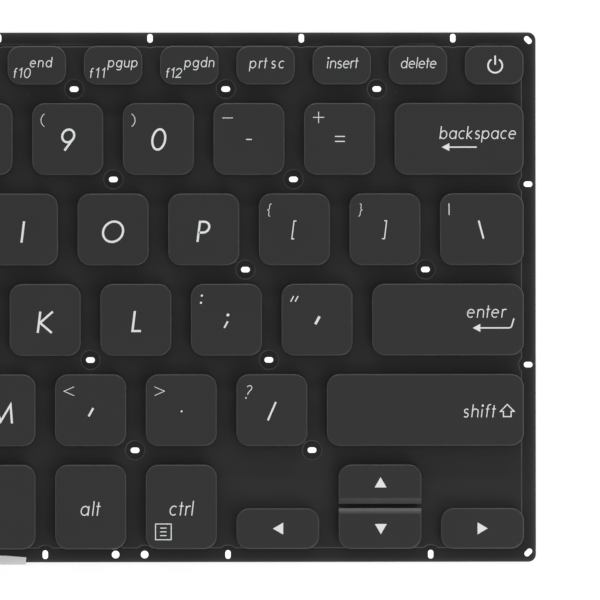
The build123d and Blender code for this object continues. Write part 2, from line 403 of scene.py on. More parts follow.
    def make(self, sizes: dict[str, object], base: bpy.types.ID | None = None) -> Mesh:
        """Evaluates the tree once.

        Args:
            sizes: value or material for each named input.
            base: mesh or curve data that enters the tree.

        Returns:
            The result as a plain mesh.
        """
        carrier = show("carrier", base or bpy.data.meshes.new("blank"))
        modifier = carrier.modifiers.new("shape", "NODES")
        modifier.node_group = self.tree
        for item in self.tree.interface.items_tree:
            if item.in_out == "INPUT" and item.name in sizes:
                modifier[item.identifier] = sizes[item.name]
        mesh = plain_mesh(carrier)
        bpy.data.objects.remove(carrier)
        drop_empty_slots(mesh)
        return mesh


# Finishes


class SurfaceGroups:
    """Shader node groups that several finishes share."""

    FINE_DETAIL, SLOW_DETAIL = 3.0, 4.0
    BAND_GAIN = 4.0
    PATCH_FLOOR = 0.4
    STREAK_HALF = 0.16 * MM
    STREAK_SCALE, STREAK_DETAIL = 90.0, 2.0
    STREAK_SQUEEZE = 4.0
    STREAK_GAIN, STREAK_CUT, STREAK_MOST = 4.0, -2.1, 0.6

    def __init__(self) -> None:
        """Builds every group once."""
        self.grain = self.build_grain()
        self.dust = self.build_dust()
        self.wear = self.build_edge_highlight()
        self.rim = self.build_rim_highlight()

    @staticmethod
    def start(
        name: str, inputs: tuple[str, ...], outputs: tuple[str, ...]
    ) -> tuple[NodeTree, bpy.types.NodeOutputs]:
        """Starts a group of floats.

        Args:
            name: its name.
            inputs: names of its inputs.
            outputs: names of its outputs.

        Returns:
            The group's tree, and the sockets that bring its inputs.
        """
        tree = bpy.data.node_groups.new(name, "ShaderNodeTree")
        for way, labels in (("INPUT", inputs), ("OUTPUT", outputs)):
            for label in labels:
                tree.interface.new_socket(label, in_out=way, socket_type="NodeSocketFloat")
        nodes = NodeTree(tree)
        return nodes, nodes.add("NodeGroupInput").outputs

    @staticmethod
    def noise(nodes: NodeTree, scale: object, detail: float) -> Socket:
        """Returns a noise over Object coordinates."""
        place = nodes.object_place()
        return nodes.get("ShaderNodeTexNoise", {"Vector": place, "Scale": scale, "Detail": detail})

    def build_grain(self) -> bpy.types.NodeTree:
        """Builds fine moulded grain and slow clouds of tone, both about a middle of one half.

        Returns:
            The group.
        """
        nodes, given = self.start("moulded_grain", ("Grain scale", "Cloud scale"), ("Height", "Cloud"))
        fine = self.noise(nodes, given["Grain scale"], self.FINE_DETAIL)
        slow = self.noise(nodes, given["Cloud scale"], self.SLOW_DETAIL)
        nodes.add("NodeGroupOutput", {"Height": fine, "Cloud": slow})
        return nodes.tree

    def build_dust(self) -> bpy.types.NodeTree:
        """Builds sparse specks: the middles of a few cells of a cell pattern.

        Returns:
            The group.
        """
        nodes, given = self.start("dust_specks", ("Scale", "Radius", "Share"), ("Mask",))
        pattern = {"Vector": nodes.object_place(), "Scale": given["Scale"]}
        cells = nodes.add("ShaderNodeTexVoronoi", pattern).outputs
        near = nodes.math("LESS_THAN", cells["Distance"], given["Radius"])
        chosen = nodes.math("LESS_THAN", nodes.split(cells["Color"])[0], given["Share"])
        nodes.add("NodeGroupOutput", {"Mask": nodes.math("MULTIPLY", near, chosen)})
        return nodes.tree

    def build_edge_highlight(self) -> bpy.types.NodeTree:
        """Builds a painted highlight on upper edges, in noisy patches: lighter where the surface tilts away
        from level.

        Returns:
            The group.
        """
        nodes, given = self.start("edge_wear", ("Amount", "Patch scale"), ("Mask",))
        level = nodes.split(nodes.add("ShaderNodeNewGeometry").outputs["Normal"])[2]
        # Painted highlight, strongest halfway between level and upright.
        tilt = nodes.math("MULTIPLY", nodes.math("SUBTRACT", 1.0, level), level)
        clear = nodes.math("MAXIMUM", nodes.math("MULTIPLY", tilt, self.BAND_GAIN), 0.0)
        patches = self.noise(nodes, given["Patch scale"], self.FINE_DETAIL)
        painted_highlight = nodes.math("MULTIPLY", clear, nodes.math("ADD", patches, self.PATCH_FLOOR))
        nodes.add("NodeGroupOutput", {"Mask": nodes.math("MULTIPLY", painted_highlight, given["Amount"])})
        return nodes.tree

    def build_rim_highlight(self) -> bpy.types.NodeTree:
        """Builds a painted highlight that fades from a sheet's outer edge inwards, and broken painted glint
        streaks along its back.

        Returns:
            The group.
        """
        sizes = ("Half width", "Half depth", "Fade", "Amount", "Streak")
        nodes, given = self.start("rim_rubbing", sizes, ("Mask",))
        x, y, _ = nodes.split(nodes.object_place())
        # Painted highlight, brightest at the outer edge and fading inwards.
        side = nodes.math("SUBTRACT", given["Half width"], nodes.math("ABSOLUTE", x))
        end = nodes.math("SUBTRACT", given["Half depth"], nodes.math("ABSOLUTE", y))
        reach = nodes.math("DIVIDE", nodes.math("MINIMUM", side, end), given["Fade"])
        fading = nodes.math("EXPONENT", nodes.math("MULTIPLY", nodes.math("MAXIMUM", reach, 0.0), -1.0))
        painted_highlight = nodes.math("MULTIPLY", fading, given["Amount"])
        # Painted glints: a thin band of broken light streaks.
        off = nodes.math("ABSOLUTE", nodes.math("SUBTRACT", y, given["Streak"]))
        band = nodes.math("MAXIMUM", nodes.math("MULTIPLY_ADD", off, -1 / self.STREAK_HALF, 1.0), 0.0)
        line = nodes.combine(x, nodes.math("MULTIPLY", y, self.STREAK_SQUEEZE), 0.0)
        pattern = {"Vector": line, "Scale": self.STREAK_SCALE, "Detail": self.STREAK_DETAIL}
        breaks = nodes.get("ShaderNodeTexNoise", pattern)
        broken = nodes.math("MULTIPLY_ADD", breaks, self.STREAK_GAIN, self.STREAK_CUT)
        kept = nodes.math("MINIMUM", nodes.math("MAXIMUM", broken, 0.0), self.STREAK_MOST)
        streak = nodes.math("MULTIPLY", band, kept)
        nodes.add("NodeGroupOutput", {"Mask": nodes.math("MAXIMUM", painted_highlight, streak)})
        return nodes.tree


GROUPS = SurfaceGroups()


def scaled(colour: Colour, factor: float) -> tuple[float, float, float, float]:
    """Returns a colour made lighter or darker, with full alpha."""
    return (colour[0] * factor, colour[1] * factor, colour[2] * factor, 1.0)


def blank_material(name: str) -> tuple[Material, NodeTree]:
    """Starts a material.

    Args:
        name: its name.

    Returns:
        The material and its empty tree.
    """
    material = bpy.data.materials.new(name)
    material.use_nodes = True
    material.node_tree.nodes.clear()
    return material, NodeTree(material.node_tree)


@dataclass(frozen=True)
class SurfaceFinish:
    """An opaque surface with grain, clouds, specks and painted highlights on its rounded edges.

    Lengths are in millimetres, the colour is linear. A rim holds the painted rim highlight's inputs, in
    metres:
    half the sheet's width and depth, the fade, its amount, and how far back the painted glint streaks run.
    """

    name: str
    colour: Colour
    roughness: float = 0.5
    specular: float = 0.5
    metallic: float = 0.0
    grain: float = 0.12
    relief: float = 0.01
    cloud: float = 9.0
    cloud_tone: float = 0.12
    speck: float = 3.0
    speck_share: float = 0.0
    speck_colour: Colour = (0.12, 0.12, 0.12)
    wear: float = 0.0
    highlight_colour: Colour = (0.09, 0.09, 0.09)
    sheen: float = 0.0
    rim: tuple[float, ...] = ()

    SPECK_RADIUS = 0.05
    PATCH_SCALE = 400.0
    ROUGH_SPREAD = 0.16

    def make(self) -> Material:
        """Builds the finish.

        Returns:
            A node material.
        """
        material, nodes = blank_material(self.name)
        grain = self.group(nodes, GROUPS.grain, (1 / (self.grain * MM), 1 / (self.cloud * MM)))
        specks = (1 / (self.speck * MM), self.SPECK_RADIUS, self.speck_share)
        dark, pale = scaled(self.colour, 1 - self.cloud_tone), scaled(self.colour, 1 + self.cloud_tone)
        tone = self.mix(nodes, grain["Cloud"], dark, pale)
        # Painted highlights on tilted edges and, on a rim, fading in from the outer edge with glint streaks;
        # then dust specks.
        layers = [(GROUPS.wear, (self.wear, self.PATCH_SCALE), self.highlight_colour)]
        if self.rim:
            layers.append((GROUPS.rim, self.rim, self.highlight_colour))
        layers.append((GROUPS.dust, specks, self.speck_colour))
        for tree, values, colour in layers:
            tone = self.mix(nodes, self.group(nodes, tree, values)["Mask"], tone, scaled(colour, 1))
        least = self.roughness - self.ROUGH_SPREAD / 2
        relief = {"Height": grain["Height"], "Distance": self.relief * MM, "Strength": 1.0}
        shader = nodes.get(
            "ShaderNodeBsdfPrincipled",
            {
                "Base Color": tone,
                "Roughness": nodes.math("MULTIPLY_ADD", grain["Height"], self.ROUGH_SPREAD, least),
                "Normal": nodes.get("ShaderNodeBump", relief),
                "Metallic": self.metallic,
                "Specular IOR Level": self.specular,
                "Sheen Weight": self.sheen,
            },
        )
        nodes.add("ShaderNodeOutputMaterial", {"Surface": shader})
        return material

    @staticmethod
    def group(nodes: NodeTree, tree: bpy.types.NodeTree, values: tuple[float, ...]) -> bpy.types.NodeOutputs:
        """Places a shared group.

        Args:
            nodes: tree of the material.
            tree: the group.
            values: its inputs, in order.

        Returns:
            Its outputs.
        """
        node = nodes.add("ShaderNodeGroup", node_tree=tree)
        for socket, value in zip(node.inputs, values):
            socket.default_value = value
        return node.outputs

    @staticmethod
    def mix(nodes: NodeTree, share: object, first: object, second: object) -> Socket:
        """Returns a colour mixed from two by a share."""
        node = nodes.add("ShaderNodeMix", {0: share, 6: first, 7: second}, data_type="RGBA")
        return node.outputs[2]


@dataclass(frozen=True)
class FloorFinish:
    """White table sheet that stays white to the camera and keeps the object's shadow.

    Within the covered half sizes, in millimetres, it glows fully: painted light over the plate's shade, so
    that it is white through the slots.
    """

    name: str = "table_sheet"
    albedo: float = 0.55
    glow: float = 0.48
    cover: Point = (136.7, 55.35)

    def make(self) -> Material:
        """Builds the finish.

        Returns:
            A node material.
        """
        material, nodes = blank_material(self.name)
        path = nodes.add("ShaderNodeLightPath").outputs
        seen = nodes.math("MAXIMUM", path["Is Camera Ray"], path["Is Glossy Ray"])
        seen = nodes.math("MAXIMUM", seen, path["Is Transmission Ray"])
        spot = nodes.split(nodes.object_place())
        near = [nodes.math("LESS_THAN", nodes.math("ABSOLUTE", s), c * MM) for s, c in zip(spot, self.cover)]
        # Painted light: full glow under the plate, where its shade falls.
        glow = nodes.math("MULTIPLY_ADD", nodes.math("MULTIPLY", *near), 1.0 - self.glow, self.glow)
        sheet = nodes.get("ShaderNodeBsdfDiffuse", {"Color": scaled((1.0, 1.0, 1.0), self.albedo)})
        light = nodes.get("ShaderNodeEmission", {"Strength": nodes.math("MULTIPLY", seen, glow)})
        both = nodes.get("ShaderNodeAddShader", {0: sheet, 1: light})
        nodes.add("ShaderNodeOutputMaterial", {"Surface": both})
        return material


# In these finishes the amount on tilted edges paints a highlight there; the plate's rim values paint a
# highlight fading in from its outer edge, and glint streaks along its back.
CAP_PLASTIC = SurfaceFinish(
    "cap_plastic", (0.0158, 0.016, 0.0166), roughness=0.38, specular=0.3, grain=0.1, relief=0.006,
    cloud=11.0, cloud_tone=0.1, speck=4.0, speck_share=0.02, wear=0.5,
)
LEGEND_INK = SurfaceFinish(
    "legend_ink", (0.605, 0.61, 0.617), roughness=0.55, specular=0.3, grain=0.08, relief=0.002,
    cloud_tone=0.05,
)
PLATE_COAT = SurfaceFinish(
    "plate_coat", (0.0115, 0.0117, 0.0119), roughness=0.36, specular=0.2, grain=0.16, relief=0.008,
    cloud=14.0, cloud_tone=0.14, speck=3.0, speck_share=0.05, wear=0.5,
    rim=(137.05 * MM, 55.725 * MM, 0.5 * MM, 0.5, 53.3 * MM),
)
SHEET_FILM = SurfaceFinish(
    "switch_film", (0.0192, 0.0192, 0.0197), roughness=0.36, specular=0.16, grain=0.2, relief=0.006,
    cloud=16.0, cloud_tone=0.14, speck=2.5, speck_share=0.05, wear=1.0,
)
DOME_RUBBER = SurfaceFinish(
    "dome_rubber", (0.5, 0.5, 0.48), roughness=0.6, specular=0.3, grain=0.15, relief=0.004, sheen=0.2,
)
LINK_PLASTIC = SurfaceFinish(
    "link_plastic", (0.03, 0.03, 0.031), roughness=0.42, specular=0.4, grain=0.12, relief=0.004,
)
BAR_WIRE = SurfaceFinish(
    "drawn_wire", (0.55, 0.55, 0.54), roughness=0.32, metallic=1.0, grain=0.08, relief=0.003,
)
LABEL_PAPER = SurfaceFinish(
    "label_paper", (0.62, 0.61, 0.6), roughness=0.75, specular=0.2, grain=0.14, relief=0.012,
    cloud=3.0, cloud_tone=0.06,
)


# Printed legends


class Edge(Enum):
    """Side of a key that a mark is measured from."""

    LEFT = -1
    MIDDLE = 0
    RIGHT = 1


BOWL = "@.25,.335,.25,.305,0,360"
ARCH = "0,.4 @.22,.42,.22,.22,180,0 .44,0"

# Strokes of each sign on a line height of one. Strokes are parted by "/" and hold points "x,y",
# arcs "@x,y,rx,ry,from,to" in degrees, discs "*x,y,r", or a filled outline after "#".
SIGNS: dict[str, str] = {
    "A": "0,0 .42,1 .84,0 / .14,.34 .7,.34",
    "B": "0,.52 0,.95 @.2,.735,.22,.215,90,-90 0,.52 / 0,.52 @.22,.285,.26,.235,90,-90 0,.05 0,.52",
    "C": "@.46,.5,.46,.48,52,308",
    "D": "0,.5 0,.95 @.18,.5,.5,.45,90,-90 0,.05 0,.5",
    "E": ".45,.95 0,.95 0,.05 .45,.05 / 0,.52 .41,.52",
    "F": ".43,.95 0,.95 0,0 / 0,.5 .4,.5",
    "G": "@.48,.5,.48,.48,48,355 .54,.46",
    "H": "0,0 0,1 / .6,0 .6,1 / 0,.52 .6,.52",
    "I": "0,0 0,1",
    "J": ".26,1 @.05,.24,.21,.24,0,-125",
    "K": "0,0 0,1 / .59,1 .05,.47 .66,0",
    "L": "0,1 0,.06 .4,.06",
    "M": "0,0 .17,.88 .56,.1 .93,.88 1.1,0",
    "N": "0,0 0,1 .64,0 .64,1",
    "O": "@.47,.5,.47,.48,0,360",
    "P": "0,0 0,.95 @.2,.695,.27,.255,90,-90 0,.44",
    "Q": "@.46,.5,.46,.48,0,360 / .56,.3 .9,-.04",
    "R": "0,0 0,.95 @.2,.695,.27,.255,90,-90 0,.44 / .2,.44 .52,0",
    "S": "@.26,.745,.22,.245,35,270 @.26,.25,.25,.25,90,-145",
    "T": "0,.95 .56,.95 / .28,.95 .28,0",
    "U": "0,1 @.28,.29,.28,.3,180,360 .56,1",
    "V": "0,1 .36,0 .72,1",
    "W": "0,1 .28,0 .56,.95 .84,0 1.12,1",
    "X": "0,0 .6,1 / 0,1 .6,0",
    "Y": "0,1 .3,.48 .6,1 / .3,.48 .3,0",
    "Z": "0,.95 .56,.95 .02,.05 .6,.05",
    "0": "@.3,.5,.3,.48,0,360",
    "1": "0,.78 .22,1 .22,0",
    "2": "@.28,.7,.27,.27,165,-35 .02,.05 .56,.05",
    "3": "@.26,.75,.23,.24,150,-90 @.26,.255,.27,.255,90,-150",
    "4": ".42,0 .42,1 0,.28 .6,.28",
    "5": ".5,1 .13,1 .06,.54 @.25,.31,.27,.3,125,-140",
    "6": "@.29,.31,.28,.3,0,360 / .05,.45 .38,1",
    "7": "0,1 .54,1 .16,0",
    "8": "@.27,.75,.21,.23,0,360 / @.27,.26,.26,.26,0,360",
    "9": "@.29,.69,.28,.3,0,360 / .53,.55 .2,0",
    "a": BOWL + " / .5,.66 .5,0",
    "b": "0,1 0,0 / " + BOWL,
    "c": "@.25,.335,.25,.305,52,308",
    "d": BOWL + " / .5,1 .5,0",
    "e": ".01,.36 .49,.36 @.25,.335,.25,.305,6,310",
    "f": "@.29,.8,.17,.18,75,180 .12,0 / 0,.64 .27,.64",
    "g": BOWL + " / .5,.66 @.26,-.06,.24,.2,0,-145",
    "h": "0,1 0,0 / " + ARCH,
    "i": "0,.64 0,0 / *0,.9,.085",
    "k": "0,1 0,0 / .36,.64 .03,.32 .4,0",
    "l": "0,1 0,0",
    "n": "0,.66 0,0 / " + ARCH,
    "o": BOWL,
    "p": "0,.66 0,-.27 / " + BOWL,
    "r": "0,.66 0,0 / 0,.36 @.2,.42,.2,.22,180,62",
    "s": "@.18,.49,.15,.15,35,270 @.18,.18,.16,.16,90,-145",
    "t": ".12,.93 .12,0 / 0,.64 .28,.64",
    "u": "0,.66 @.22,.24,.22,.22,180,360 .44,.66 / .44,.66 .44,0",
    " ": "",
    "(": "@.72,.4,.65,.62,125,235",
    ")": "@-.35,.4,.65,.62,55,-55",
    "_": "0,.58 .84,.58",
    "+": "0,.62 .9,.62 / .45,.17 .45,1.07",
    "-": "0,.54 .27,.54",
    "=": "0,.69 .47,.69 / 0,.456 .47,.456",
    "{": "@.3,.82,.13,.12,90,180 .17,.53 .05,.44 .17,.35 @.3,.06,.13,.12,180,270",
    "}": "@0,.82,.13,.12,90,0 .13,.53 .25,.44 .13,.35 @0,.06,.13,.12,0,-90",
    "[": ".115,1 0,1 0,.155 .115,.155",
    "]": "0,1 .115,1 .115,.155 0,.155",
    "|": ".13,.03 0,.965",
    "\\": "0,1.01 .33,.165",
    ":": "*0,.83,.09 / *0,.26,.09",
    ";": "*.11,.84,.07 / .01,.23 .14,.54",
    '"': "0,.34 .18,.78 / .36,.34 .54,.78",
    "'": "0,.4 .15,.77",
    "<": ".76,.77 0,.42 .86,.07",
    ">": "0,.77 .84,.42 .1,.07",
    ",": "0,.33 .17,.72",
    ".": "*0,.563,.045",
    "?": "@.26,.66,.19,.2,155,-55 .2,.27 .18,.12 / *.08,-.12,.06",
    "/": "0,.11 .27,.975",
    "!": "0,.3 .02,1 / *0,.06,.1",
    "@": "@.42,.42,.16,.18,0,360 / .6,.62 .58,.3 @.74,.42,.16,.2,210,360 @.45,.42,.45,.5,0,300",
    "#": ".12,.05 .22,.95 / .48,.05 .58,.95 / 0,.34 .66,.34 / .04,.66 .7,.66",
    "$": "@.26,.7,.2,.2,35,270 @.26,.29,.21,.21,90,-145 / .26,-.06 .26,1.06",
    "%": "@.16,.78,.15,.18,0,360 / @.7,.2,.15,.18,0,360 / .1,0 .76,1",
    "^": "0,.56 .25,1 .5,.56",
    "&": ".7,0 .16,.66 @.3,.78,.17,.18,215,-40 .06,.36 @.26,.2,.24,.2,160,330 .68,.42",
    "*": ".25,.45 .25,1 / 0,.58 .5,.87 / 0,.87 .5,.58",
    "~": "@.18,.5,.18,.14,170,20 @.52,.52,.17,.14,200,350",
    "`": "0,1 .12,.76",
    "left triangle": "# 0,.5 .86,1 .86,0",
    "right triangle": "# .86,.5 0,1 0,0",
    "up triangle": "# .5,.86 0,0 1,0",
    "down triangle": "# .5,0 0,.86 1,.86",
    "power": "@.5,.5,.5,.5,122,418 / .5,.56 .5,1.2",
    "left arrow": "# 0,.5 1,1.02 1,-.02 / .9,.5 4.6,.5",
    "return arrow": "# 0,.5 1,1.02 1,-.02 / .9,.5 @4.75,.9,.4,.4,-90,-12 5.42,1.75",
    "raised arrow": ".5,0 1,.5 .78,.5 .78,.88 .22,.88 .22,.5 0,.5 .5,0",
    "menu": "0,0 1,0 1,1 0,1 0,0 / .3,.26 .7,.26 / .3,.5 .7,.5 / .3,.74 .7,.74",
    "tab arrows": "# 0,.75 .5,1 .5,.5 / .5,.75 1.8,.75 / # 1.8,.2 1.3,.45 1.3,-.05 / 0,.2 1.3,.2",
}
ICONS = {name for name in SIGNS if len(name) > 1}
UPRIGHT = ICONS | set("()+=_-")
SLANT = 0.124


@dataclass(frozen=True)
class Mark:
    """One printed mark on a keycap, in millimetres.

    The distance across is taken from the named side of the key inwards, or from its middle to the right,
    and the baseline from the key's back edge. A fitted width spreads the letters.
    """

    text: str
    across: float
    baseline: float
    height: float
    stroke: float
    side: Edge = Edge.MIDDLE
    fitted: float = 0.0

    @property
    def slant(self) -> float:
        """Lean of its strokes, none on icons and on signs that stand upright."""
        return 0.0 if self.text in UPRIGHT else SLANT


class PrintedInk:
    """Thin closed plates of ink that lie on a cap's top face."""

    ARC_STEP = 10.0
    LAYER = 0.0008
    LAYERS = 5
    MITRE_LIMIT = 3.0
    SAME_SPOT = 1e-6
    LETTER_GAP = 0.27
    WORD_GAP = 0.2
    AFTER = {"r": 0.45, "t": 0.6, "f": 0.75, " ": 0.0}
    BEFORE = {"t": 0.65, "f": 0.65}
    DISC_SIDES = 14

    def __init__(self, top: float, depth: float) -> None:
        """Starts an empty print.

        Args:
            top: height of the ink's upper face in millimetres.
            depth: distance from there down to the foot inside the cap.
        """
        self.top = top
        self.foot = top - depth
        self.layer = 0
        self.points: list[Spot] = []
        self.faces: list[tuple[int, ...]] = []

    def print_mark(self, mark: Mark, left: float, right: float, back: float) -> None:
        """Prints one mark on a key.

        Args:
            mark: the mark.
            left: X of the key's left edge.
            right: X of its right edge.
            back: Y of its back edge.
        """
        strokes = self.lay_out(mark, self.LETTER_GAP)
        if mark.fitted:
            low, high = self.reach(strokes)
            spare = (mark.fitted - mark.stroke - (high - low)) / mark.height / sum(self.shares(mark.text))
            strokes = self.lay_out(mark, self.LETTER_GAP + spare)
        low, high = self.reach(strokes)
        half = mark.stroke / 2
        shift = {
            Edge.LEFT: left + mark.across + half - low,
            Edge.MIDDLE: (left + right - low - high) / 2 + mark.across,
            Edge.RIGHT: right - mark.across - half - high,
        }[mark.side]
        for kind, points in strokes:
            placed = [(x + shift, back - mark.baseline + y) for x, y in points]
            if kind == "line":
                self.ribbon(placed, mark.stroke)
            else:
                self.plate(placed)
            self.layer = (self.layer + 1) % self.LAYERS

    def shares(self, text: str) -> list[float]:
        """Returns the share of a full gap after each letter but the last: less beside open letters."""
        return [self.AFTER.get(a, 1.0) * self.BEFORE.get(b, 1.0) for a, b in zip(text, text[1:])]

    def lay_out(self, mark: Mark, gap: float) -> Strokes:
        """Scales and slants the strokes of a mark.

        Args:
            mark: the mark.
            gap: space between its letters, on a line height of one.

        Returns:
            The strokes, from the mark's own corner.
        """
        strokes: Strokes = []
        cursor = 0.0
        signs = [mark.text] if mark.text in ICONS else list(mark.text)
        for sign, share in zip(signs, self.shares(mark.text) + [0.0]):
            drawn = self.strokes_of(sign)
            edge = cursor
            for kind, points in drawn:
                edge = max(edge, cursor + max(x for x, _ in points))
                slanted = [(cursor + x + mark.slant * y, y) for x, y in points]
                strokes.append((kind, [(x * mark.height, y * mark.height) for x, y in slanted]))
            cursor = edge + (gap * share if drawn else self.WORD_GAP)
        return strokes

    def strokes_of(self, sign: str) -> Strokes:
        """Reads one sign.

        Args:
            sign: its name in SIGNS.

        Returns:
            Its strokes on a line height of one.
        """
        strokes: Strokes = []
        for text in filter(None, (part.strip() for part in SIGNS[sign].split(" / "))):
            kind = "plate" if text[0] in "#*" else "line"
            points: list[Point] = []
            for word in text.lstrip("#").split():
                values = [float(value) for value in word.lstrip("@*").split(",")]
                if word[0] == "@":
                    points += self.arc(*values)
                elif word[0] == "*":
                    x, y, r = values
                    angles = [math.tau * step / self.DISC_SIDES for step in range(self.DISC_SIDES)]
                    points += [(x + r * math.cos(a), y + r * math.sin(a)) for a in angles]
                else:
                    points.append((values[0], values[1]))
            strokes.append((kind, points))
        return strokes

    def arc(self, x: float, y: float, rx: float, ry: float, start: float, end: float) -> list[Point]:
        """Draws an elliptic arc.

        Args:
            x: X of its middle.
            y: Y of its middle.
            rx: radius along X.
            ry: radius along Y.
            start: angle at its start, in degrees.
            end: angle at its end, in degrees.

        Returns:
            Points along the arc.
        """
        count = max(2, round(abs(end - start) / self.ARC_STEP))
        angles = [math.radians(start + (end - start) * i / count) for i in range(count + 1)]
        return [(x + rx * math.cos(a), y + ry * math.sin(a)) for a in angles]

    @staticmethod
    def reach(strokes: Strokes) -> tuple[float, float]:
        """Returns the lowest and highest X of the strokes."""
        across = [x for _, points in strokes for x, _ in points]
        return min(across), max(across)

    def ribbon(self, points: list[Point], width: float) -> None:
        """Adds a stroke of constant width with mitred corners.

        Args:
            points: its middle line.
            width: its width.
        """
        closed = math.dist(points[0], points[-1]) < self.SAME_SPOT
        if closed:
            points = points[:-1]
        count = len(points)
        sections: list[int] = []
        for index, (x, y) in enumerate(points):
            before = points[index - 1] if index or closed else None
            after = points[(index + 1) % count] if index < count - 1 or closed else None
            dx, dy = self.mitre(before, (x, y), after)
            half = width / 2
            sections.append(self.section((x + dx * half, y + dy * half), (x - dx * half, y - dy * half)))
        pairs = list(zip(sections, sections[1:]))
        if closed:
            pairs.append((sections[-1], sections[0]))
        for first, second in pairs:
            for side in range(4):
                turn = (side + 1) % 4
                self.faces.append((first + side, first + turn, second + turn, second + side))
        if not closed:
            first, last = sections[0], sections[-1]
            self.faces.append((first + 3, first + 2, first + 1, first))
            self.faces.append((last, last + 1, last + 2, last + 3))

    def mitre(self, before: Point | None, here: Point, after: Point | None) -> Point:
        """Finds the way from a stroke's middle line to its side.

        Args:
            before: point before, if any.
            here: the point.
            after: point after, if any.

        Returns:
            A direction, longer than one at corners.
        """
        normals = []
        for start, end in ((before, here), (here, after)):
            if start is not None and end is not None:
                length = math.dist(start, end) or 1.0
                normals.append((-(end[1] - start[1]) / length, (end[0] - start[0]) / length))
        nx = sum(n[0] for n in normals)
        ny = sum(n[1] for n in normals)
        length = math.hypot(nx, ny) or 1.0
        nx, ny = nx / length, ny / length
        stretch = 1 / max(nx * normals[0][0] + ny * normals[0][1], 1 / self.MITRE_LIMIT)
        return nx * stretch, ny * stretch

    def section(self, left: Point, right: Point) -> int:
        """Adds the four corners across a stroke.

        Args:
            left: its left side.
            right: its right side.

        Returns:
            Index of the first corner.
        """
        top = self.top - self.layer * self.LAYER
        first = len(self.points)
        self.points += [(*left, top), (*right, top), (*right, self.foot), (*left, self.foot)]
        return first

    def plate(self, points: list[Point]) -> None:
        """Adds a filled outline.

        Args:
            points: its corners.
        """
        top = self.top - self.layer * self.LAYER
        area = sum(a[0] * b[1] - b[0] * a[1] for a, b in zip(points, points[1:] + points[:1]))
        ring = points if area > 0 else points[::-1]
        first, count = len(self.points), len(ring)
        self.points += [(*p, top) for p in ring] + [(*p, self.foot) for p in ring]
        self.faces.append(tuple(range(first, first + count)))
        self.faces.append(tuple(reversed(range(first + count, first + 2 * count))))
        for i in range(count):
            j = (i + 1) % count
            self.faces.append((first + i, first + count + i, first + count + j, first + j))


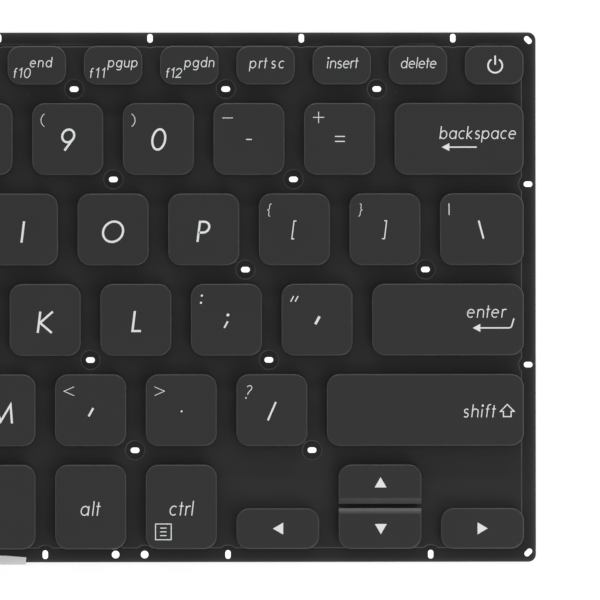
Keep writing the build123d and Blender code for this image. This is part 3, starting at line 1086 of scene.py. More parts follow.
@dataclass
class LegendSheet:
    """Which marks each key carries."""

    letter_height: float = 4.46
    letter_stroke: float = 0.45
    letter_line: float = 10.33
    digit_line: float = 10.0
    corner_height: float = 2.63
    corner_stroke: float = 0.15
    corner_line: float = 4.69
    corner_left: float = 2.05
    shift_right: float = 0.22
    sign_stroke: float = 0.21
    small_stroke: float = 0.175
    word_stroke: float = 0.2
    front_stroke: float = 0.215

    NUDGES = {
        "]": (-0.2, 0.07), "\\": (-0.22, 0.04), "L": (0.1, 0.12), "P": (-0.15, 0.11), "0": (0.02, 0.09),
        "9": (0.04, 0.0), "K": (-0.05, 0.03), "O": (-0.08, 0.03), "[": (-0.12, 0.03), "/": (-0.07, 0.1),
        "=": (0.0, -0.15), "-": (-0.08, -0.1),
    }
    SLIM = {
        "'": 0.52, ",": 0.42, "\\": 0.37, "/": 0.37, ";": 0.34, '"': 0.24, "|": 0.18, "?": 0.16,
        "+": 0.16, "{": 0.125, "}": 0.125, "<": 0.13, ">": 0.125, "(": 0.135, ")": 0.135,
    }
    SHIFTED = dict(zip("1234567890", "!@#$%^&*()"))
    PAIRS = {
        "minus": "_-", "equals": "+=", "left_bracket": "{[", "right_bracket": "}]", "backslash": "|\\",
        "semicolon": ":;", "quote": "\"'", "comma": "<,", "period": ">.", "slash": "?/", "grave": "~`",
    }

    def marks_of(self, key: str) -> list[Mark]:
        """Finds what a key carries.

        Args:
            key: its name.

        Returns:
            Its marks, or none.
        """
        if len(key) == 1 and key.isalpha():
            return [self.main(key.upper(), self.letter_line)]
        if key in self.SHIFTED:
            return [self.main(key, self.digit_line), self.corner(self.SHIFTED[key])]
        if key in self.PAIRS:
            upper, lower = self.PAIRS[key]
            line = self.digit_line if key in ("minus", "equals") else self.letter_line
            return [self.main(lower, line, self.SLIM.get(lower, self.sign_stroke)), self.corner(upper)]
        if key[0] == "f" and key[1:].isdigit():
            return self.function_marks(key)
        return self.word_marks().get(key, [])

    def main(self, text: str, line: float, stroke: float = 0.0) -> Mark:
        """Lays out the large mark in the middle of a key.

        Args:
            text: its sign.
            line: its baseline.
            stroke: width of its strokes, or zero for a letter's.

        Returns:
            The mark.
        """
        right, up = self.NUDGES.get(text, (0.0, 0.0))
        across = self.shift_right + right
        return Mark(text, across, line - up, self.letter_height, stroke or self.letter_stroke)

    def corner(self, text: str) -> Mark:
        """Returns the small mark in the back left corner of a key."""
        stroke = self.SLIM.get(text, self.corner_stroke)
        return Mark(text, self.corner_left, self.corner_line, self.corner_height, stroke, Edge.LEFT)

    def function_marks(self, key: str) -> list[Mark]:
        """Lays out a function key.

        Args:
            key: its name.

        Returns:
            Its number, and its second word where it has one.
        """
        widths = {"f10": 3.62, "f11": 3.25, "f12": 3.36}
        words = {"f10": ("end", 4.95, 4.77), "f11": ("pgup", 5.21, 6.31), "f12": ("pgdn", 5.28, 6.39)}
        marks = [Mark(key, 1.5, 6.73, 2.02, self.small_stroke, Edge.LEFT, widths.get(key, 0.0))]
        if key in words:
            word, left, width = words[key]
            marks.append(Mark(word, left, 4.5, 2.16, self.small_stroke, Edge.LEFT, width))
        return marks

    def word_marks(self) -> dict[str, list[Mark]]:
        """Lays out the keys that carry words or icons.

        Returns:
            Marks by key.
        """
        left, right = Edge.LEFT, Edge.RIGHT
        small, word, front = self.small_stroke, self.word_stroke, self.front_stroke
        alt = [Mark("alt", 0.2, 10.75, 3.08, front, fitted=4.31)]
        return {
            "esc": [Mark("esc", 0.2, 4.73, 2.36, small)],
            "print_screen": [Mark("prt sc", 0.38, 4.73, 2.36, small, fitted=7.46)],
            "insert": [Mark("insert", 0.38, 4.73, 2.36, small, fitted=6.75)],
            "delete": [Mark("delete", 0.3, 4.73, 2.3, small, fitted=7.44)],
            "power": [Mark("power", 0.36, 5.7, 3.0, 0.34)],
            "backspace": [
                Mark("backspace", 1.53, 7.62, 2.68, word, right, 16.1),
                Mark("left arrow", 9.65, 10.13, 1.6, 0.28, right),
            ],
            "enter": [
                Mark("enter", 3.45, 7.2, 2.74, word, right, 8.41),
                Mark("return arrow", 1.85, 10.15, 1.6, 0.28, right),
            ],
            "right_shift": [
                Mark("shift", 5.7, 9.15, 2.73, word, right, 6.87),
                Mark("raised arrow", 1.85, 6.45, -2.9, 0.22, right),
            ],
            "left_shift": [
                Mark("shift", 1.85, 9.15, 2.73, word, left, 6.87),
                Mark("raised arrow", 9.4, 6.45, -2.9, 0.22, left),
            ],
            "tab": [
                Mark("tab", 1.85, 7.2, 2.73, word, left),
                Mark("tab arrows", 1.85, 11.0, 2.4, 0.22, left),
            ],
            "caps_lock": [Mark("caps lock", 1.85, 9.1, 2.73, word, left)],
            "left_ctrl": [Mark("ctrl", 1.85, 10.75, 3.08, front, left)],
            "fn": [Mark("fn", 0.2, 10.75, 3.08, front)],
            "left_alt": alt,
            "right_alt": alt,
            "right_ctrl": [
                Mark("ctrl", 0.25, 10.72, 3.08, front, fitted=5.15),
                Mark("menu", 2.2, 15.8, 3.3, 0.19, left),
            ],
            "left_arrow": [Mark("left triangle", 0.2, 5.55, 2.5, 0.0)],
            "right_arrow": [Mark("right triangle", 0.2, 5.55, 2.5, 0.0)],
            "up_arrow": [Mark("up triangle", 0.25, 4.87, 2.5, 0.0)],
            "down_arrow": [Mark("down triangle", 0.3, 5.5, 2.5, 0.0)],
        }


# Keycaps


@dataclass(frozen=True)
class KeyPlace:
    """One key's name and its edges at the rim, in millimetres."""

    name: str
    left: float
    right: float
    back: float
    front: float

    HALF_HEIGHT = 12.0

    @property
    def centre(self) -> Point:
        """Middle of the key."""
        return (self.left + self.right) / 2, (self.back + self.front) / 2

    @property
    def width(self) -> float:
        """Size along X."""
        return self.right - self.left

    @property
    def depth(self) -> float:
        """Size along Y."""
        return self.back - self.front

    @property
    def low(self) -> bool:
        """Whether the key is of the half-height kind."""
        return self.depth < self.HALF_HEIGHT


@dataclass
class Keycaps:
    """The caps: hollow, drafted, with a rounded top edge and a printed legend."""

    corner: float = 2.8
    draft: float = 0.09
    edge: float = 0.3
    wall: float = 1.25
    roof: float = 0.8
    ink: float = 0.012
    ink_foot: float = 0.03
    register: Point = (-0.15, -0.055)
    split_corner: float = 0.12
    split_wall: float = 0.03
    split_inset: float = 1.25
    split_drop: float = 0.7
    split_curve: float = 1.3
    corner_chords: int = 9
    edge_chords: int = 5
    flat_band: float = 0.1
    fold_draft: float = 0.85
    legends: LegendSheet = field(default_factory=LegendSheet)

    SIZES = (
        "Width", "Depth", "Corner", "Height", "Draft", "Edge", "Wall", "Roof",
        "Split corner", "Split wall", "Split inset", "Split drop",
    )

    def __post_init__(self) -> None:
        """Takes the heights from the frame and builds the tree and finishes."""
        low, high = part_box("key_enter")
        self.rim, self.top = low.z / MM, high.z / MM
        self.plastic = CAP_PLASTIC.make()
        self.legend_ink = LEGEND_INK.make()
        self.tree = self.build_tree()

    def build_tree(self) -> ShapeTree:
        """Builds the tree of one cap.

        Returns:
            The tree, with the cap's middle at the origin and its rim at zero.
        """
        tree = ShapeTree("moulded_keycap", self.SIZES)
        given = tree.given
        front = tree.math("LESS_THAN", tree.split(tree.position())[1], 0.0)
        tight = tree.math("LESS_THAN", given["Split corner"], given["Corner"])
        widen = tree.math("SUBTRACT", given["Split corner"], given["Corner"])
        radius = tree.math("MULTIPLY_ADD", front, widen, given["Corner"])
        outline = tree.outline(given["Width"], given["Depth"], radius, self.corner_chords)
        square = tree.math("MULTIPLY", front, tight)
        tree.foot(tree.filled(outline), tree.facing(given["Width"], given["Depth"], radius, square))
        ceiling = tree.math("SUBTRACT", given["Height"], given["Roof"])
        pocket = tree.stacked([(given["Wall"], 0.0), (given["Wall"], ceiling)])
        whole = tree.welded(tree.stacked(self.skin_rings(tree)), tree.flipped(pocket))
        return tree.close(tree.dressed(tree.smoothed(whole)))

    def skin_rings(self, tree: ShapeTree) -> list[tuple[object, object, object]]:
        """Plans a cap's outer skin from the rim to the top.

        Args:
            tree: tree of the cap.

        Returns:
            Inset, height and inset at the split side of each ring.
        """
        given = tree.given
        fold = tree.math("SUBTRACT", given["Height"], given["Split drop"])
        shoulder = tree.math("SUBTRACT", given["Height"], given["Edge"])
        drawn_in = tree.math("MULTIPLY", given["Draft"], self.fold_draft)
        heights = [(drawn_in, fold), (given["Draft"], shoulder)]
        for step in range(1, self.edge_chords + 1):
            angle = math.pi / 2 * step / self.edge_chords
            inset = tree.math("MULTIPLY_ADD", given["Edge"], 1 - math.cos(angle), given["Draft"])
            heights.append((inset, tree.math("MULTIPLY_ADD", given["Edge"], math.sin(angle), shoulder)))
        rings = []
        for inset, height in heights:
            risen = tree.math("MAXIMUM", tree.math("SUBTRACT", height, fold), 0.0)
            fall = tree.math("POWER", tree.math("DIVIDE", risen, given["Split drop"]), self.split_curve)
            slope = tree.math("MULTIPLY_ADD", fall, given["Split inset"], given["Split wall"])
            rings.append((inset, height, tree.math("MAXIMUM", inset, slope)))
        inset, height, split = rings[-1]
        band = self.flat_band * MM
        rings.append((tree.math("ADD", inset, band), height, tree.math("ADD", split, band)))
        return rings

    def mesh_of(self, key: KeyPlace) -> Mesh:
        """Makes one cap with its legend.

        Args:
            key: its place.

        Returns:
            The cap at its place.
        """
        split = key.name in ("up_arrow", "down_arrow")
        sizes = {
            "Width": key.width, "Depth": key.depth, "Corner": self.corner,
            "Height": self.top - self.ink - self.rim, "Draft": self.draft, "Edge": self.edge,
            "Wall": self.wall, "Roof": self.roof - self.ink,
            "Split corner": self.split_corner if split else self.corner,
            "Split wall": self.split_wall if split else 0.0,
            "Split inset": self.split_inset if split else 0.0,
            "Split drop": self.split_drop,
        }
        values = {name: size * MM for name, size in sizes.items()}
        mesh = self.tree.make({**values, "Finish 1": self.plastic})
        turn = math.pi if key.name == "down_arrow" else 0.0
        place = Matrix.Translation((*(MM * c for c in key.centre), self.rim * MM))
        mesh.transform(place @ Matrix.Rotation(turn, 4, "Z"))
        self.add_legend(mesh, key)
        return mesh

    def add_legend(self, mesh: Mesh, key: KeyPlace) -> None:
        """Adds printed marks to a cap.

        Args:
            mesh: the cap.
            key: its name and place.
        """
        ink = PrintedInk(self.top, self.ink_foot)
        right, back = self.register
        for mark in self.legends.marks_of(key.name):
            ink.print_mark(mark, key.left + right, key.right + right, key.back + back)
        mesh.materials.append(self.legend_ink)
        shape = bmesh.new()
        shape.from_mesh(mesh)
        verts = [shape.verts.new([MM * c for c in point]) for point in ink.points]
        for corners in ink.faces:
            face = shape.faces.new([verts[c] for c in corners])
            face.material_index = 1
            face.smooth = False
        shape.to_mesh(mesh)
        shape.free()

    def build(self, moving: list[KeyPlace], fixed: list[KeyPlace]) -> None:
        """Makes every cap.

        Args:
            moving: keys that travel, a piece each.
            fixed: all the others, in one piece.
        """
        for key in moving:
            piece = add_piece(f"cap_{key.name}", self.mesh_of(key))
            settle(piece, f"cap_{key.name}", "keycap", f"key_{key.name}")
        piece = add_piece("caps_left", merged([self.mesh_of(key) for key in fixed]))
        settle(piece, "base", "keycap", "left_keycaps")


# Scissor units and bars


@dataclass
class ScissorUnits:
    """The rubber dome and the two crossing frames under each key."""

    floor: float = 0.8
    ceiling: float = 3.6
    length: float = 10.15
    width: float = 10.0
    bar: float = 1.0
    low_length: float = 9.5
    low_width: float = 5.3
    low_bar: float = 0.5
    thickness: float = 0.7
    side_gap: float = 0.15
    end_gap: float = 0.05
    dome: float = 5.0
    low_dome: float = 2.6
    top_share: float = 0.55
    keep: float = 0.49
    dome_pinch: float = -0.35
    dome_sides: int = 20
    dome_rings: int = 8
    frame_chords: int = 3
    section_chords: int = 2
    section_corner: float = 0.2

    SIZES = ("Length", "Width", "Bar", "Thickness", "Side gap", "Tilt", "Turn", "Dome", "Dome top", "Rise")

    def __post_init__(self) -> None:
        """Builds the tree and the finishes."""
        self.finishes = {"Finish 1": LINK_PLASTIC.make(), "Finish 2": DOME_RUBBER.make()}
        self.tree = self.build_tree()

    def build_tree(self) -> ShapeTree:
        """Builds the tree of one unit.

        Returns:
            The tree, with the unit's middle at the origin and its foot at zero.
        """
        tree = ShapeTree("scissor_unit", self.SIZES, 2)
        given = tree.given
        bar, thickness = given["Bar"], given["Thickness"]
        middle = tree.combine(0.0, 0.0, tree.math("MULTIPLY", given["Rise"], 0.5))
        inward = tree.math("ADD", bar, given["Side gap"])
        narrow = tree.math("MULTIPLY_ADD", inward, -2.0, given["Width"])
        lean_back = tree.math("MULTIPLY", given["Tilt"], -1.0)
        length = tree.math("SUBTRACT", given["Length"], bar)
        corner = tree.math("MULTIPLY", thickness, self.section_corner)
        section = tree.outline(bar, thickness, corner, self.section_chords)
        frames = []
        for width, tilt in ((given["Width"], given["Tilt"]), (narrow, lean_back)):
            across, bend = tree.math("SUBTRACT", width, bar), tree.math("MULTIPLY", bar, 0.5)
            level = tree.swept(tree.outline(across, length, bend, self.frame_chords), section)
            leaning = tree.moved(level, (0, 0, 0), tree.combine(tilt, 0.0, 0.0))
            frames.append(tree.moved(leaning, middle, tree.combine(0.0, 0.0, given["Turn"])))
        links = tree.dressed(tree.smoothed(tree.joined(*frames)), 1)
        return tree.close(tree.joined(links, tree.dressed(self.dome_part(tree), 2)))

    def dome_part(self, tree: ShapeTree) -> Socket:
        """Draws the dome: a flared skirt that rises to a flat crown.

        Args:
            tree: tree of the unit.

        Returns:
            The dome.
        """
        given = tree.given
        sizes = {
            "Vertices": self.dome_sides, "Side Segments": self.dome_rings, "Depth": given["Rise"],
            "Radius Top": given["Dome top"], "Radius Bottom": given["Dome"],
        }
        x, y, z = tree.split(tree.position())
        share = tree.math("DIVIDE", z, given["Rise"])
        waist = tree.math("MULTIPLY", share, tree.math("SUBTRACT", 1.0, share))
        pinch = tree.math("MULTIPLY_ADD", waist, self.dome_pinch, 1.0)
        spot = tree.combine(tree.math("MULTIPLY", x, pinch), tree.math("MULTIPLY", y, pinch), z)
        return tree.smoothed(tree.placed(tree.get("GeometryNodeMeshCone", sizes), spot))

    def mesh_of(self, key: KeyPlace) -> Mesh:
        """Makes one unit.

        Args:
            key: the key over it.

        Returns:
            The unit at its place.
        """
        low = key.low
        length = self.low_length if low else self.length
        dome = (self.low_dome if low else self.dome) / 2
        rise = self.ceiling - self.floor
        climb = rise - 2 * self.end_gap - self.thickness
        sizes = {
            "Length": length * MM, "Width": (self.low_width if low else self.width) * MM,
            "Bar": (self.low_bar if low else self.bar) * MM, "Thickness": self.thickness * MM,
            "Side gap": self.side_gap * MM, "Tilt": math.asin(climb / length),
            "Turn": math.pi / 2 if low else 0.0, "Dome": dome * MM,
            "Dome top": dome * self.top_share * MM, "Rise": rise * MM,
        }
        mesh = self.tree.make({**sizes, **self.finishes})
        mesh.transform(Matrix.Translation((*(MM * c for c in key.centre), self.floor * MM)))
        return mesh

    def build(self, moving: list[KeyPlace], fixed: list[KeyPlace]) -> None:
        """Makes every unit.

        Args:
            moving: keys that travel, over a folding unit each.
            fixed: all the others, over one piece.
        """
        nodes = ("rubber_domes", "scissor_outer_links", "scissor_inner_links")
        for key in moving:
            piece = add_piece(f"scissor_{key.name}", self.mesh_of(key))
            settle(piece, "base", "link", *nodes)
            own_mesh(piece)
        settle(add_piece("scissors_left", merged([self.mesh_of(key) for key in fixed])), "base", "link")


@dataclass
class StabiliserBars:
    """Bent spring wire under each wide cap."""

    keys: tuple[str, ...] = ("backspace", "enter", "right_shift", "space")
    diameter: float = 0.6
    bend: float = 0.45
    wall: float = 1.25
    end_offset: float = 1.2
    wall_offset: float = 0.75
    arm: float = 6.0
    foot: float = 1.5
    run_height: float = 3.2
    foot_height: float = 1.15
    bend_chords: int = 5
    wire_sides: int = 12

    def __post_init__(self) -> None:
        """Builds the tree and the finish."""
        self.finish = BAR_WIRE.make()
        self.tree = self.build_tree()

    def build_tree(self) -> ShapeTree:
        """Builds the tree that sweeps round wire along a path with rounded bends.

        Returns:
            The tree.
        """
        tree = ShapeTree("bent_wire", ("Bend", "Radius"))
        path = tree.rounded(tree.given["Geometry"], tree.given["Bend"], self.bend_chords)
        circle = {"Resolution": self.wire_sides, "Radius": tree.given["Radius"]}
        wire = tree.swept(path, tree.get("GeometryNodeCurvePrimitiveCircle", circle))
        return tree.close(tree.dressed(tree.smoothed(wire)))

    def path_of(self, key: KeyPlace) -> bpy.types.Curve:
        """Bends one bar.

        Args:
            key: the key over it.

        Returns:
            Its centreline as curve data.
        """
        x, y = key.centre
        half = key.width / 2 - self.wall - self.end_offset
        run = y + key.depth / 2 - self.wall - self.wall_offset
        foot = run - math.sqrt(self.arm**2 - (self.run_height - self.foot_height) ** 2)
        right_half = [
            (half - self.foot, foot, self.foot_height),
            (half, foot, self.foot_height),
            (half, run, self.run_height),
        ]
        corners = right_half + [(-side, *rest) for side, *rest in reversed(right_half)]
        curve = bpy.data.curves.new("bar_path", "CURVE")
        curve.dimensions = "3D"
        spline = curve.splines.new("POLY")
        spline.points.add(len(corners) - 1)
        for point, (side, along, height) in zip(spline.points, corners):
            point.co = (MM * (x + side), MM * along, MM * height, 1.0)
        return curve

    def build(self, places: dict[str, KeyPlace]) -> None:
        """Makes the bars.

        Args:
            places: all keys by name.
        """
        sizes = {"Bend": self.bend * MM, "Radius": self.diameter / 2 * MM, "Finish 1": self.finish}
        for name in self.keys:
            piece = add_piece(f"wire_{name}", self.tree.make(sizes, self.path_of(places[name])))
            settle(piece, f"wire_{name}", "wire", f"bar_{name}")


# Sheets


Cut = tuple[Mesh, dict[str, float]]


@dataclass
class Sheets:
    """The stamped support plate and the switch sheet that lies on it."""

    plate_corner: float = 1.6
    slot_length: float = 1.84
    slot_width: float = 1.14
    locating: float = 1.6
    tail_length: float = 24.0
    tail_width: float = 1.6
    clearance: float = 1.9
    sheet_corner: float = 2.4
    corner_chords: int = 8
    slot_chords: int = 8
    plate_edge: float = 0.1
    sheet_edge: float = 0.28
    tail_corner: float = 0.4

    EDGE_ANGLES = (0, 30, 60, 90)
    NECK_OVERRUN = 1.2
    ROUND_END = 0.49

    def __post_init__(self) -> None:
        """Builds the trees and the finishes."""
        self.coat = PLATE_COAT.make()
        self.film = SHEET_FILM.make()
        self.blank_tree = self.build_blank_tree()
        self.punch_tree = self.build_punch_tree()

    def build_blank_tree(self) -> ShapeTree:
        """Builds the tree of a flat blank with round corners and a rounded upper edge.

        Returns:
            The tree.
        """
        tree = ShapeTree("sheet_blank", ("Width", "Depth", "Corner", "Thickness", "Edge"))
        given = tree.given
        sizes = given["Width"], given["Depth"], given["Corner"]
        face = tree.filled(tree.outline(*sizes, self.corner_chords))
        tree.foot(face, tree.facing(*sizes))
        skin = tree.stacked(self.rounding(tree, given["Thickness"], 1.0, 1.0))
        return tree.close(tree.dressed(tree.welded(skin, tree.flipped(face))))

    def build_punch_tree(self) -> ShapeTree:
        """Builds the tree that sets a punch with a flared neck on every point, turned by its own angle.

        Returns:
            The tree.
        """
        tree = ShapeTree("row_of_punches", ("Length", "Width", "Corner", "Thickness", "Edge"))
        given = tree.given
        sizes = given["Length"], given["Width"], given["Corner"]
        face = tree.filled(tree.outline(*sizes, self.slot_chords))
        tree.foot(face, tree.facing(*sizes))
        rings = self.rounding(tree, tree.math("ADD", given["Thickness"], MM), -1.0, self.NECK_OVERRUN)
        rings.append((rings[-1][0], tree.math("ADD", given["Thickness"], 2 * MM)))
        punch = tree.welded(tree.stacked(rings), tree.flipped(face))
        angle = tree.get("GeometryNodeInputNamedAttribute", {"Name": "turn"}, data_type="FLOAT")
        turn = tree.combine(0.0, 0.0, angle)
        rows = {"Points": given["Geometry"], "Instance": punch, "Rotation": turn}
        return tree.close(tree.dressed(tree.get("GeometryNodeInstanceOnPoints", rows)))

    def rounding(self, tree: ShapeTree, top: Socket, side: float, last: float) -> list[tuple[object, ...]]:
        """Returns the rings of a rounded edge.

        Args:
            tree: the tree, with an input for the edge's radius.
            top: height at which the edge ends.
            side: one for an edge that draws in, minus one for one that flares.
            last: length of the last chord, over one to carry on past the top.

        Returns:
            Inset and height of each ring.
        """
        angles = [math.radians(angle) for angle in self.EDGE_ANGLES]
        points = [(1 - math.cos(angle), math.sin(angle) - 1) for angle in angles]
        (x, z), (end_x, end_z) = points[-2:]
        points[-1] = (x + (end_x - x) * last, z + (end_z - z) * last)
        edge = tree.given["Edge"]
        insets = [tree.math("MULTIPLY", edge, side * x) for x, _ in points]
        heights = [tree.math("MULTIPLY_ADD", edge, z, top) for _, z in points]
        return list(zip(insets, heights))

    def punches(self, places: list[Spot], length: float, width: float, corner: float = 0.0) -> Cut:
        """Returns what makes a row of punches: their places and the sizes that they share.

        Args:
            places: X, Y and turn of each punch, in millimetres and degrees.
            length: size of a punch along its own X.
            width: size across.
            corner: radius of its corners, or zero for round ends.

        Returns:
            Points that carry the turns, and the sizes in metres.
        """
        points = bpy.data.meshes.new("punch_places")
        points.from_pydata([(x * MM, y * MM, -MM) for x, y, _ in places], [], [])
        turns = points.attributes.new("turn", "FLOAT", "POINT")
        turns.data.foreach_set("value", [math.radians(turn) for _, _, turn in places])
        round_end = corner or self.ROUND_END * width
        return points, {"Length": length * MM, "Width": width * MM, "Corner": round_end * MM}

    def build(self, holes: "HolePlan") -> None:
        """Makes the plate and the switch sheet.

        Args:
            holes: where they are pierced.
        """
        slots = self.punches(holes.slots, self.slot_length, self.slot_width)
        pins = self.punches(holes.pins, self.locating, self.locating)
        tail = self.punches(holes.tails, self.tail_length, self.tail_width, self.tail_corner)
        wide = 2 * self.clearance
        rings = self.punches(holes.slots + holes.pins, wide, wide)
        cuts = [slots, pins, tail]
        self.sheet("support_plate", "plate", self.plate_corner, self.coat, cuts, self.plate_edge)
        self.sheet("membrane", "membrane", self.sheet_corner, self.film, [rings], self.sheet_edge)

    def sheet(
        self, node: str, slot: str, corner: float, finish: Material, cuts: list[Cut], edge: float
    ) -> None:
        """Makes one punched sheet in the box of its node.

        Args:
            node: CAD node that it stands for.
            slot: material slot of the record.
            corner: radius of its corners.
            finish: its material.
            cuts: rows of punches that go through it.
            edge: radius of its upper edges.
        """
        low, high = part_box(node)
        shared = {"Thickness": high.z - low.z, "Edge": edge * MM, "Finish 1": finish}
        sizes = {"Width": high.x - low.x, "Depth": high.y - low.y, "Corner": corner * MM}
        piece = add_piece(f"{node}_sheet", self.blank_tree.make({**sizes, **shared}))
        for points, hole in cuts:
            cutter = show("cutter", self.punch_tree.make({**hole, **shared}, points))
            cut = piece.modifiers.new("cut", "BOOLEAN")
            cut.operation, cut.solver, cut.object = "DIFFERENCE", "EXACT", cutter
            cut.use_self = True
            apply_modifiers(piece)
            bpy.data.objects.remove(cutter)
        piece.data.transform(Matrix.Translation((0.0, 0.0, low.z)))
        piece.data.materials.clear()
        piece.data.materials.append(finish)
        settle(piece, "base", slot, node)


@dataclass
class HolePlan:
    """Where the sheets are pierced, read from the hole walls of the CAD plate.

    Each place is X and Y in millimetres and a turn in degrees.
    """

    longest: float = 30.0
    tail_least: float = 10.0
    slot_least: float = 0.3
    slots: list[Spot] = field(default_factory=list)
    pins: list[Spot] = field(default_factory=list)
    tails: list[Spot] = field(default_factory=list)

    def __post_init__(self) -> None:
        """Sorts the holes by their length and width."""
        for points in islands_of("support_plate", walls=True):
            length, width, turn = self.measure(points)
            round_hole = length - width <= self.slot_least
            kind = self.tails if length > self.tail_least else self.pins if round_hole else self.slots
            if length < self.longest:
                low, high = box_of(points)
                kind.append(((low.x + high.x) / 2 / MM, (low.y + high.y) / 2 / MM, turn))

    @staticmethod
    def measure(points: list[Vector]) -> Spot:
        """Measures a hole in the turn that makes it longest and slimmest.

        Args:
            points: points of its wall.

        Returns:
            Its length, width and turn.
        """
        found = []
        for turn in (0.0, 45.0, 90.0, 135.0):
            across = Vector((math.cos(math.radians(turn)), math.sin(math.radians(turn))))
            sizes = []
            for axis in (across, across.orthogonal()):
                reach = [point.xy.dot(axis) / MM for point in points]
                sizes.append(max(reach) - min(reach))
            found.append((sizes[0] - sizes[1], *sizes, turn))
        return max(found)[1:]


@dataclass
class PaperLabel:
    """Blank paper tab that lies on the front rim and folds down over the edge."""

    thickness: float = 0.1
    slack: float = 0.02
    bend: float = 0.12
    slope: float = 0.085
    end_reach: float = 1.03
    lean: float = 0.1
    steps: int = 6
    cells: int = 28
    sharp: float = 40.0

    def build(self) -> None:
        """Makes the label inside the box of its node."""
        low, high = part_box("paper_label")
        front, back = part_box("support_plate")
        edge, rim = front.y, back.z
        shape = bmesh.new()
        rows = []
        for step in range(self.cells + 1):
            x = low.x + (high.x - low.x) * step / self.cells
            inner = min(edge + self.end_reach * MM + self.slope * (high.x - x), high.y)
            rows.append([shape.verts.new((x, y, z)) for y, z in self.profile(inner, rim, low)])
        for vert in rows[-1]:
            vert.co.x -= self.lean * (high.y - vert.co.y)
        for first, second in zip(rows, rows[1:]):
            for a, b, c, d in zip(first, first[1:], second[1:], second):
                shape.faces.new((a, b, c, d))
        mesh = bpy.data.meshes.new("label")
        shape.to_mesh(mesh)
        shape.free()
        piece = add_piece("paper_tab", mesh)
        wall = piece.modifiers.new("paper", "SOLIDIFY")
        wall.thickness, wall.offset = self.thickness * MM, 1.0
        apply_modifiers(piece)
        piece.data.materials.append(LABEL_PAPER.make())
        for face in piece.data.polygons:
            face.use_smooth = True
        piece.data.set_sharp_from_angle(angle=math.radians(self.sharp))
        settle(piece, "base", "paper", "paper_label")

    def profile(self, inner: float, rim: float, low: Vector) -> list[Point]:
        """Draws the section of the paper's inner face, from the rim out over the edge and down.

        Args:
            inner: Y of its inner end.
            rim: height of the rim.
            low: low corner of the label's box.

        Returns:
            Y and Z of its points, in metres.
        """
        bend = self.bend * MM
        leg = low.y + (self.slack + self.thickness) * MM
        points = [(inner, rim), (inner * 0.5 + leg * 0.5, rim)]
        for step in range(self.steps + 1):
            angle = math.pi / 2 * step / self.steps
            points.append((leg + bend - bend * math.sin(angle), rim - bend + bend * math.cos(angle)))
        points.append((leg, low.z + self.slack * MM))
        return points


# Stage


@dataclass
class Stage:
    """Floor, lights and camera of a plain product photograph taken from straight above.

    The floor's size, the far end of the view and all of the lamps are in metres and watts.
    """

    middle: Spot = (87.32, -0.58, 4.4)
    field_width: float = 126.12
    distance: float = 3000.0
    tilt: float = 1.2
    roll: float = -0.05
    sensor: float = 36.0
    floor_size: float = 3.0
    floor_level: float = -0.05
    far: float = 10.0
    room_light: float = 0.65

    LAMPS = (
        ("key_light", (0.28, -0.33, 0.36), 0.3, 0.3, 1.05),
        ("back_strip", (0.1, 0.9, 0.45), 1.2, 0.1, 6.5),
        ("right_strip", (0.95, 0.05, 0.45), 0.1, 0.9, 1.1),
        ("left_strip", (-0.75, 0.0, 0.4), 0.1, 0.9, 1.0),
    )

    def build(self) -> None:
        """Sets up everything around the object."""
        self.add_floor()
        self.add_camera()
        self.add_world()
        for lamp in self.LAMPS:
            self.add_lamp(*lamp)
        bpy.context.scene.view_settings.view_transform = "Standard"

    def add_floor(self) -> None:
        """Adds the white sheet that the keyboard lies on."""
        half = self.floor_size / 2
        mesh = bpy.data.meshes.new("floor")
        corners = [(-half, -half), (half, -half), (half, half), (-half, half)]
        mesh.from_pydata([(x, y, self.floor_level * MM) for x, y in corners], [], [(0, 1, 2, 3)])
        mesh.materials.append(FloorFinish().make())
        add_piece("floor", mesh)

    def add_camera(self) -> None:
        """Adds the camera above the keyboard's middle, looking down on its right-hand part."""
        lens = bpy.data.cameras.new("camera")
        lens.sensor_width = self.sensor
        lens.lens = self.sensor * self.distance / self.field_width
        lens.clip_end = self.far
        camera = show("camera", lens)
        turn = Matrix.Rotation(-math.radians(self.tilt), 4, "Y")
        turn = turn @ Matrix.Rotation(math.radians(self.roll), 4, "Z")
        away = turn @ Vector((0.0, 0.0, self.distance))
        camera.matrix_world = Matrix.Translation((Vector(self.middle) + away) * MM) @ turn
        bpy.context.scene.camera = camera

    def add_world(self) -> None:
        """Adds the even light of a white room."""
        world = bpy.data.worlds.new("white_room")
        world.use_nodes = True
        inputs = world.node_tree.nodes["Background"].inputs
        inputs["Color"].default_value = (1.0, 1.0, 1.0, 1.0)
        inputs["Strength"].default_value = self.room_light
        bpy.context.scene.world = world

    @staticmethod
    def add_lamp(name: str, place: Spot, width: float, height: float, power: float) -> None:
        """Adds a soft box that faces the middle of the keyboard.

        Args:
            name: name of the lamp.
            place: its position in metres.
            width: size along its own X.
            height: size along its own Y.
            power: its power in watts.
        """
        data = bpy.data.lights.new(name, "AREA")
        data.shape, data.size, data.size_y, data.energy = "RECTANGLE", width, height, power
        lamp = show(name, data)
        lamp.location = place
        lamp.rotation_euler = (-Vector(place)).to_track_quat("-Z", "Y").to_euler()


# Key layout


ROWS = (
    "esc f1 f2 f3 f4 f5 f6 f7 f8 f9 f10 f11 f12 print_screen insert delete power",
    "grave 1 2 3 4 5 6 7 8 9 0 minus equals backspace",
    "tab q w e r t y u i o p left_bracket right_bracket backslash",
    "caps_lock a s d f g h j k l semicolon quote enter",
    "left_shift z x c v b n m comma period slash right_shift",
    "left_ctrl fn meta left_alt space right_alt right_ctrl left_arrow up_arrow down_arrow right_arrow",
)
SAME_POINT = 0.001 * MM
UPRIGHT_WALL = 0.1


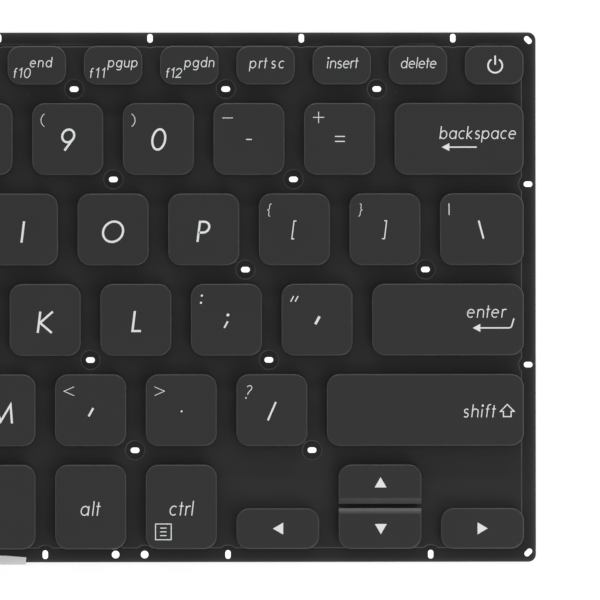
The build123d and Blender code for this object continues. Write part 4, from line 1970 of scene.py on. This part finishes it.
def islands_of(node: str, walls: bool = False) -> list[list[Vector]]:
    """Finds the separate solids of a CAD node, or the rings of its upright walls.

    Args:
        node: its name.
        walls: whether to look at upright walls alone.

    Returns:
        The points of each.
    """
    shape = bmesh.new()
    shape.from_mesh(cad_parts[node].data)
    bmesh.ops.remove_doubles(shape, verts=shape.verts, dist=SAME_POINT)
    if walls:
        level = [face for face in shape.faces if abs(face.normal.z) > UPRIGHT_WALL]
        bmesh.ops.delete(shape, geom=level, context="FACES")
    islands, seen = [], set()
    for start in shape.verts:
        if start in seen:
            continue
        seen.add(start)
        island = [start]
        for vert in island:
            near = [edge.other_vert(vert) for edge in vert.link_edges]
            fresh = [other for other in near if other not in seen]
            seen.update(fresh)
            island += fresh
        islands.append([vert.co.copy() for vert in island])
    shape.free()
    return islands


def box_of(points: list[Vector]) -> tuple[Vector, Vector]:
    """Returns the lowest and the highest corner around the points."""
    corners = [Vector([pick(p[i] for p in points) for i in range(3)]) for pick in (min, max)]
    return corners[0], corners[1]


def key_places() -> dict[str, KeyPlace]:
    """Reads all keys, row by row, from the boxes of their CAD nodes.

    Returns:
        Keys by name.
    """
    fixed = sorted(map(box_of, islands_of("left_keycaps")), key=lambda box: box[0].x)
    places = {}
    for text in ROWS:
        names = text.split()
        moving = [name for name in names if f"key_{name}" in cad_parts]
        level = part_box(f"key_{moving[0]}")[1].y
        boxes = [box for box in fixed if abs(box[1].y - level) < MM]
        boxes += [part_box(f"key_{name}") for name in moving]
        for name, (low, high) in zip(names, boxes):
            places[name] = KeyPlace(name, low.x / MM, high.x / MM, high.y / MM, low.y / MM)
    return places


def main() -> None:
    """Builds and dresses the keyboard, piece by piece."""
    logging.basicConfig(level=logging.INFO, format="%(message)s")
    places = key_places()
    moving = [key for key in places.values() if f"key_{key.name}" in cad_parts]
    fixed = [key for key in places.values() if f"key_{key.name}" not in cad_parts]
    Sheets().build(HolePlan())
    ScissorUnits().build(moving, fixed)
    StabiliserBars().build(places)
    Keycaps().build(moving, fixed)
    PaperLabel().build()
    Stage().build()


if __name__ == "__main__":
    main()
